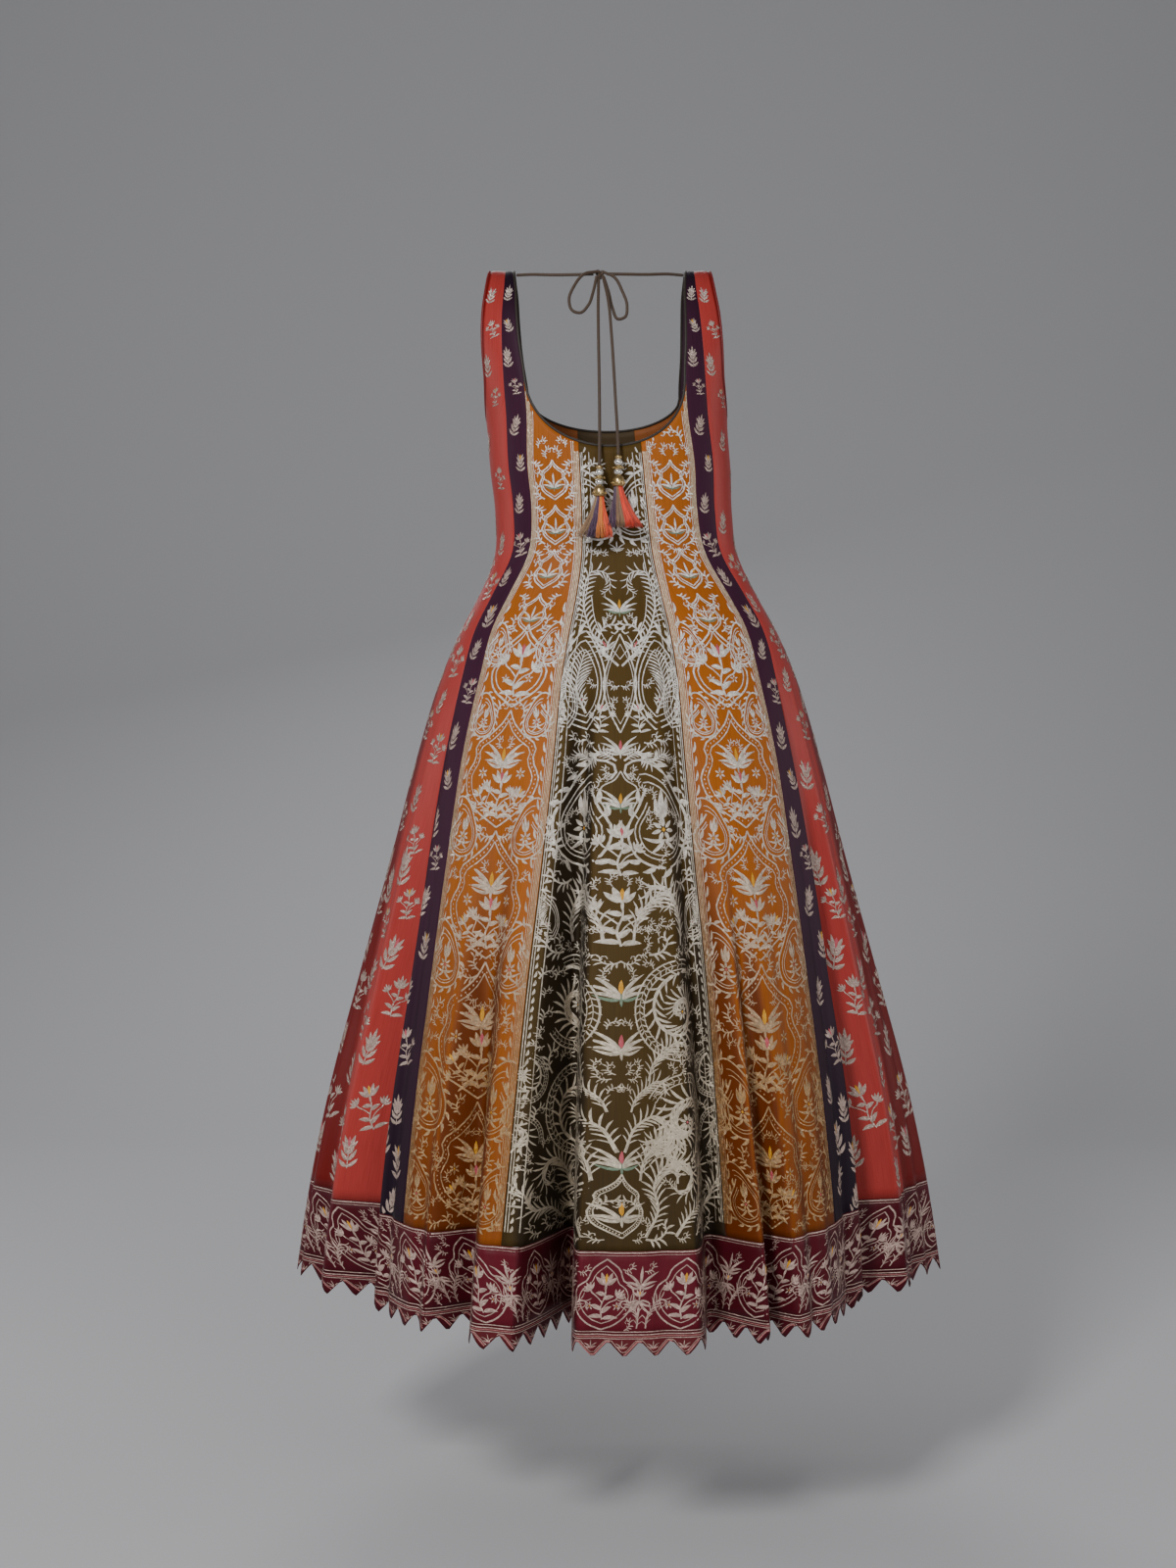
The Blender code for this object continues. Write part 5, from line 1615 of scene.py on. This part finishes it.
class GOWN_OT_straps(bpy.types.Operator):
    """The purple and coral panels that run up over the shoulders"""

    bl_idname = "gown.straps"
    bl_label = "Strap panels"

    def execute(self, context):
        facts = context.scene.gown_cloth
        purple = found("purple silk", silk, facts.purple, facts.purple_shaded, 0.55)
        coral = found("coral silk", silk, facts.coral, facts.coral_shaded, 0.40, 0.03)
        form = {"begin": SHADE_TINT_ALL_OVER, "rise": STRAP_RISE}
        colour_panels("purple", shoulder, STRAP_ROWS, 20, purple, purple_figure, SHADED_DIM, **form)
        # The coral panels darken towards the wearer's side: painted shade where the cloth turns from the light.
        colour_panels("coral", shoulder, STRAP_ROWS, 46, coral, coral_figure, SHADED_DIM, shot=0.9, **form)
        return {"FINISHED"}


class GOWN_OT_hem(bpy.types.Operator):
    """The hem border and its pointed edging"""

    bl_idname = "gown.hem"
    bl_label = "Hem"

    def execute(self, context):
        facts = context.scene.gown_cloth
        border = found("border silk", silk, facts.maroon, facts.maroon_shaded, 0.5)
        edging = found("points silk", silk, facts.points, facts.maroon_shaded, 0.55)
        for half, middle in (("back", 0.0), ("front", 8.0)):
            cloth = Cloth(middle - SIDE, None, middle + SIDE, border_top, border_low, 8, 480, sewn=False)
            figure = border_figure(cloth)
            finish_panel(cloth, f"hem_border_{half}", "border_brocade", border, figure, 0.0004, SHADED_ROSE)
            self.points(half, middle, edging)
        return {"FINISHED"}

    def points(self, half, middle, edging):
        """The tape and its points, which reach down by 1 - |2 * phase - 1| of their depth along each pitch."""
        around = np.linspace(middle - SIDE, middle + SIDE, 1600)
        path = surface(wrap(around), np.full(1600, BORDER_BOTTOM))
        run = run_length(path)
        count = max(1, round(run[-1] / POINT_PITCH))

        def tips(places):
            """The zigzag edge's height."""
            phase = np.interp(places, around, run) / run[-1] * count
            reach = 1.0 - 2.0 * np.abs(phase - np.floor(phase) - 0.5)
            return border_low(places) - TAPE_DEPTH - reach * POINT_DEPTH

        cloth = Cloth(middle - SIDE, None, middle + SIDE, border_low, tips, 4, 8 * count, sewn=False)
        name = f"hem_points_{half}"
        piece = settle(cloth.add("cloth_" + name, edging), "border_brocade", name)
        figure = points_figure(cloth, count)
        zari = settle(weave(cloth, figure, "zari_" + name, found("thread", thread), 0.0001, SHADED_ROSE), "border_brocade")
        cloth.area()


class GOWN_OT_bindings(bpy.types.Operator):
    """The piping round the neckline and the armholes"""

    bl_idname = "gown.bindings"
    bl_label = "Bindings"

    def execute(self, context):
        facts = context.scene.gown_trim
        finish = found("piping", plain, facts.piping, 0.6, 0.0, 0.4)
        edge = found("armhole piping", plain, context.scene.gown_cloth.coral_shaded, 0.55, 0.0, 0.4)
        across = np.linspace(2.0, -2.0, 121)
        up = BACK_SCOOP_TOP * (1.0 - np.linspace(0.0, 1.0, 42)[1:]) ** 2
        front = np.linspace(-6.0, -10.0, 121)
        runs = [
            (across, scoop(across)),
            (np.full(len(up), -2.0), up),
            (np.full(len(up) - 1, -6.0), up[::-1][1:]),
            (wrap(front), scoop(wrap(front))),
            (np.full(len(up), 6.0), up),
            (np.full(len(up) - 1, 2.0), up[::-1][1:]),
        ]
        around = np.concatenate([run[0] for run in runs])
        height = np.concatenate([run[1] for run in runs])
        way = -surface(around, height)
        settle(self.binding("neck_piping", around, height, way, finish), "edge_piping", "neck_binding")
        rise = UNDERARM * (1.0 - np.sin(np.linspace(0.0, np.pi / 2, 70)))
        for hand, sign in (("right", 1.0), ("left", -1.0)):
            places = sign * np.concatenate([np.full(70, SIDE), np.full(69, FRONT_SIDE)])
            level = np.concatenate([rise, rise[::-1][1:]])
            spots = surface(places, level)
            way = np.array([spots[:, 0].mean() * 1.5, 0.0, UNDERARM / 2]) - spots
            name = f"armhole_binding_{hand}"
            settle(self.binding(f"armhole_piping_{hand}", places, level, way, edge), "edge_piping", name)
        return {"FINISHED"}

    def binding(self, name, around, height, way, finish):
        """A closed rounded ring that starts at the cloth's edge and stands past it, as thick as the cloth."""
        edge, normal = surface(around, height), outward(around, height)
        run = unit(np.roll(edge, -1, axis=0) - np.roll(edge, 1, axis=0))
        past = unit(np.cross(normal, run))
        if (past * way).sum() < 0:
            past = -past
        angle = circle(TUBE_SIDES)
        out = 0.5 * (BINDING_REACH + SEAM_GAP) * (1.0 + 1.05 * np.cos(angle))
        lift = -BINDING_SINK + BINDING_HALF * np.sin(angle)
        rings = edge[:, None] + past[:, None] * out[:, None] + normal[:, None] * lift[:, None]
        place = np.arange(len(rings) * TUBE_SIDES).reshape(-1, TUBE_SIDES)
        faces = tube_quads(place, np.roll(place, -1, axis=0))
        points = rings.reshape(-1, 3)
        centre = np.repeat(rings.mean(axis=1), TUBE_SIDES, axis=0)
        tri = points[faces]
        facing = np.cross(tri[:, 1] - tri[:, 0], tri[:, 2] - tri[:, 0])
        if (facing * (tri[:, 0] - centre[faces[:, 0]])).sum() < 0:
            faces = faces[:, ::-1]
        return add_mesh(name, points, faces, finish)


class GOWN_PT_panel(bpy.types.Panel):
    """The gown's pieces, in the order in which they are made"""

    bl_idname = "GOWN_PT_panel"
    bl_label = "Anarkali Gown"
    bl_space_type = "VIEW_3D"
    bl_region_type = "UI"
    bl_category = "Gown"

    def draw(self, context):
        for group in (context.scene.gown_cloth, context.scene.gown_trim, context.scene.gown_stage):
            for name in group.__annotations__:
                self.layout.prop(group, name)
        for operator in OPERATORS:
            self.layout.operator(operator.bl_idname)


OPERATORS = (GOWN_OT_stage, GOWN_OT_tie, GOWN_OT_centre, GOWN_OT_orange, GOWN_OT_straps, GOWN_OT_hem, GOWN_OT_bindings)
GROUPS = {"gown_cloth": GownClothSettings, "gown_trim": GownTrimSettings, "gown_stage": GownStageSettings}


def register():
    """Add the settings, the operators and the panel."""
    for group in GROUPS.values():
        bpy.utils.register_class(group)
    for operator in OPERATORS:
        bpy.utils.register_class(operator)
    bpy.utils.register_class(GOWN_PT_panel)
    for name, group in GROUPS.items():
        setattr(bpy.types.Scene, name, bpy.props.PointerProperty(type=group))


def unregister():
    """Take away all that register adds."""
    for name in GROUPS:
        delattr(bpy.types.Scene, name)
    bpy.utils.unregister_class(GOWN_PT_panel)
    for kind in reversed(OPERATORS):
        bpy.utils.unregister_class(kind)
    for kind in reversed(GROUPS.values()):
        bpy.utils.unregister_class(kind)


def main():
    """Build the gown and its stage."""
    register()
    bpy.ops.gown.stage()
    bpy.ops.gown.tie()
    bpy.ops.gown.centre()
    bpy.ops.gown.orange()
    bpy.ops.gown.straps()
    bpy.ops.gown.hem()
    bpy.ops.gown.bindings()
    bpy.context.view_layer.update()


if __name__ == "__main__":
    main()
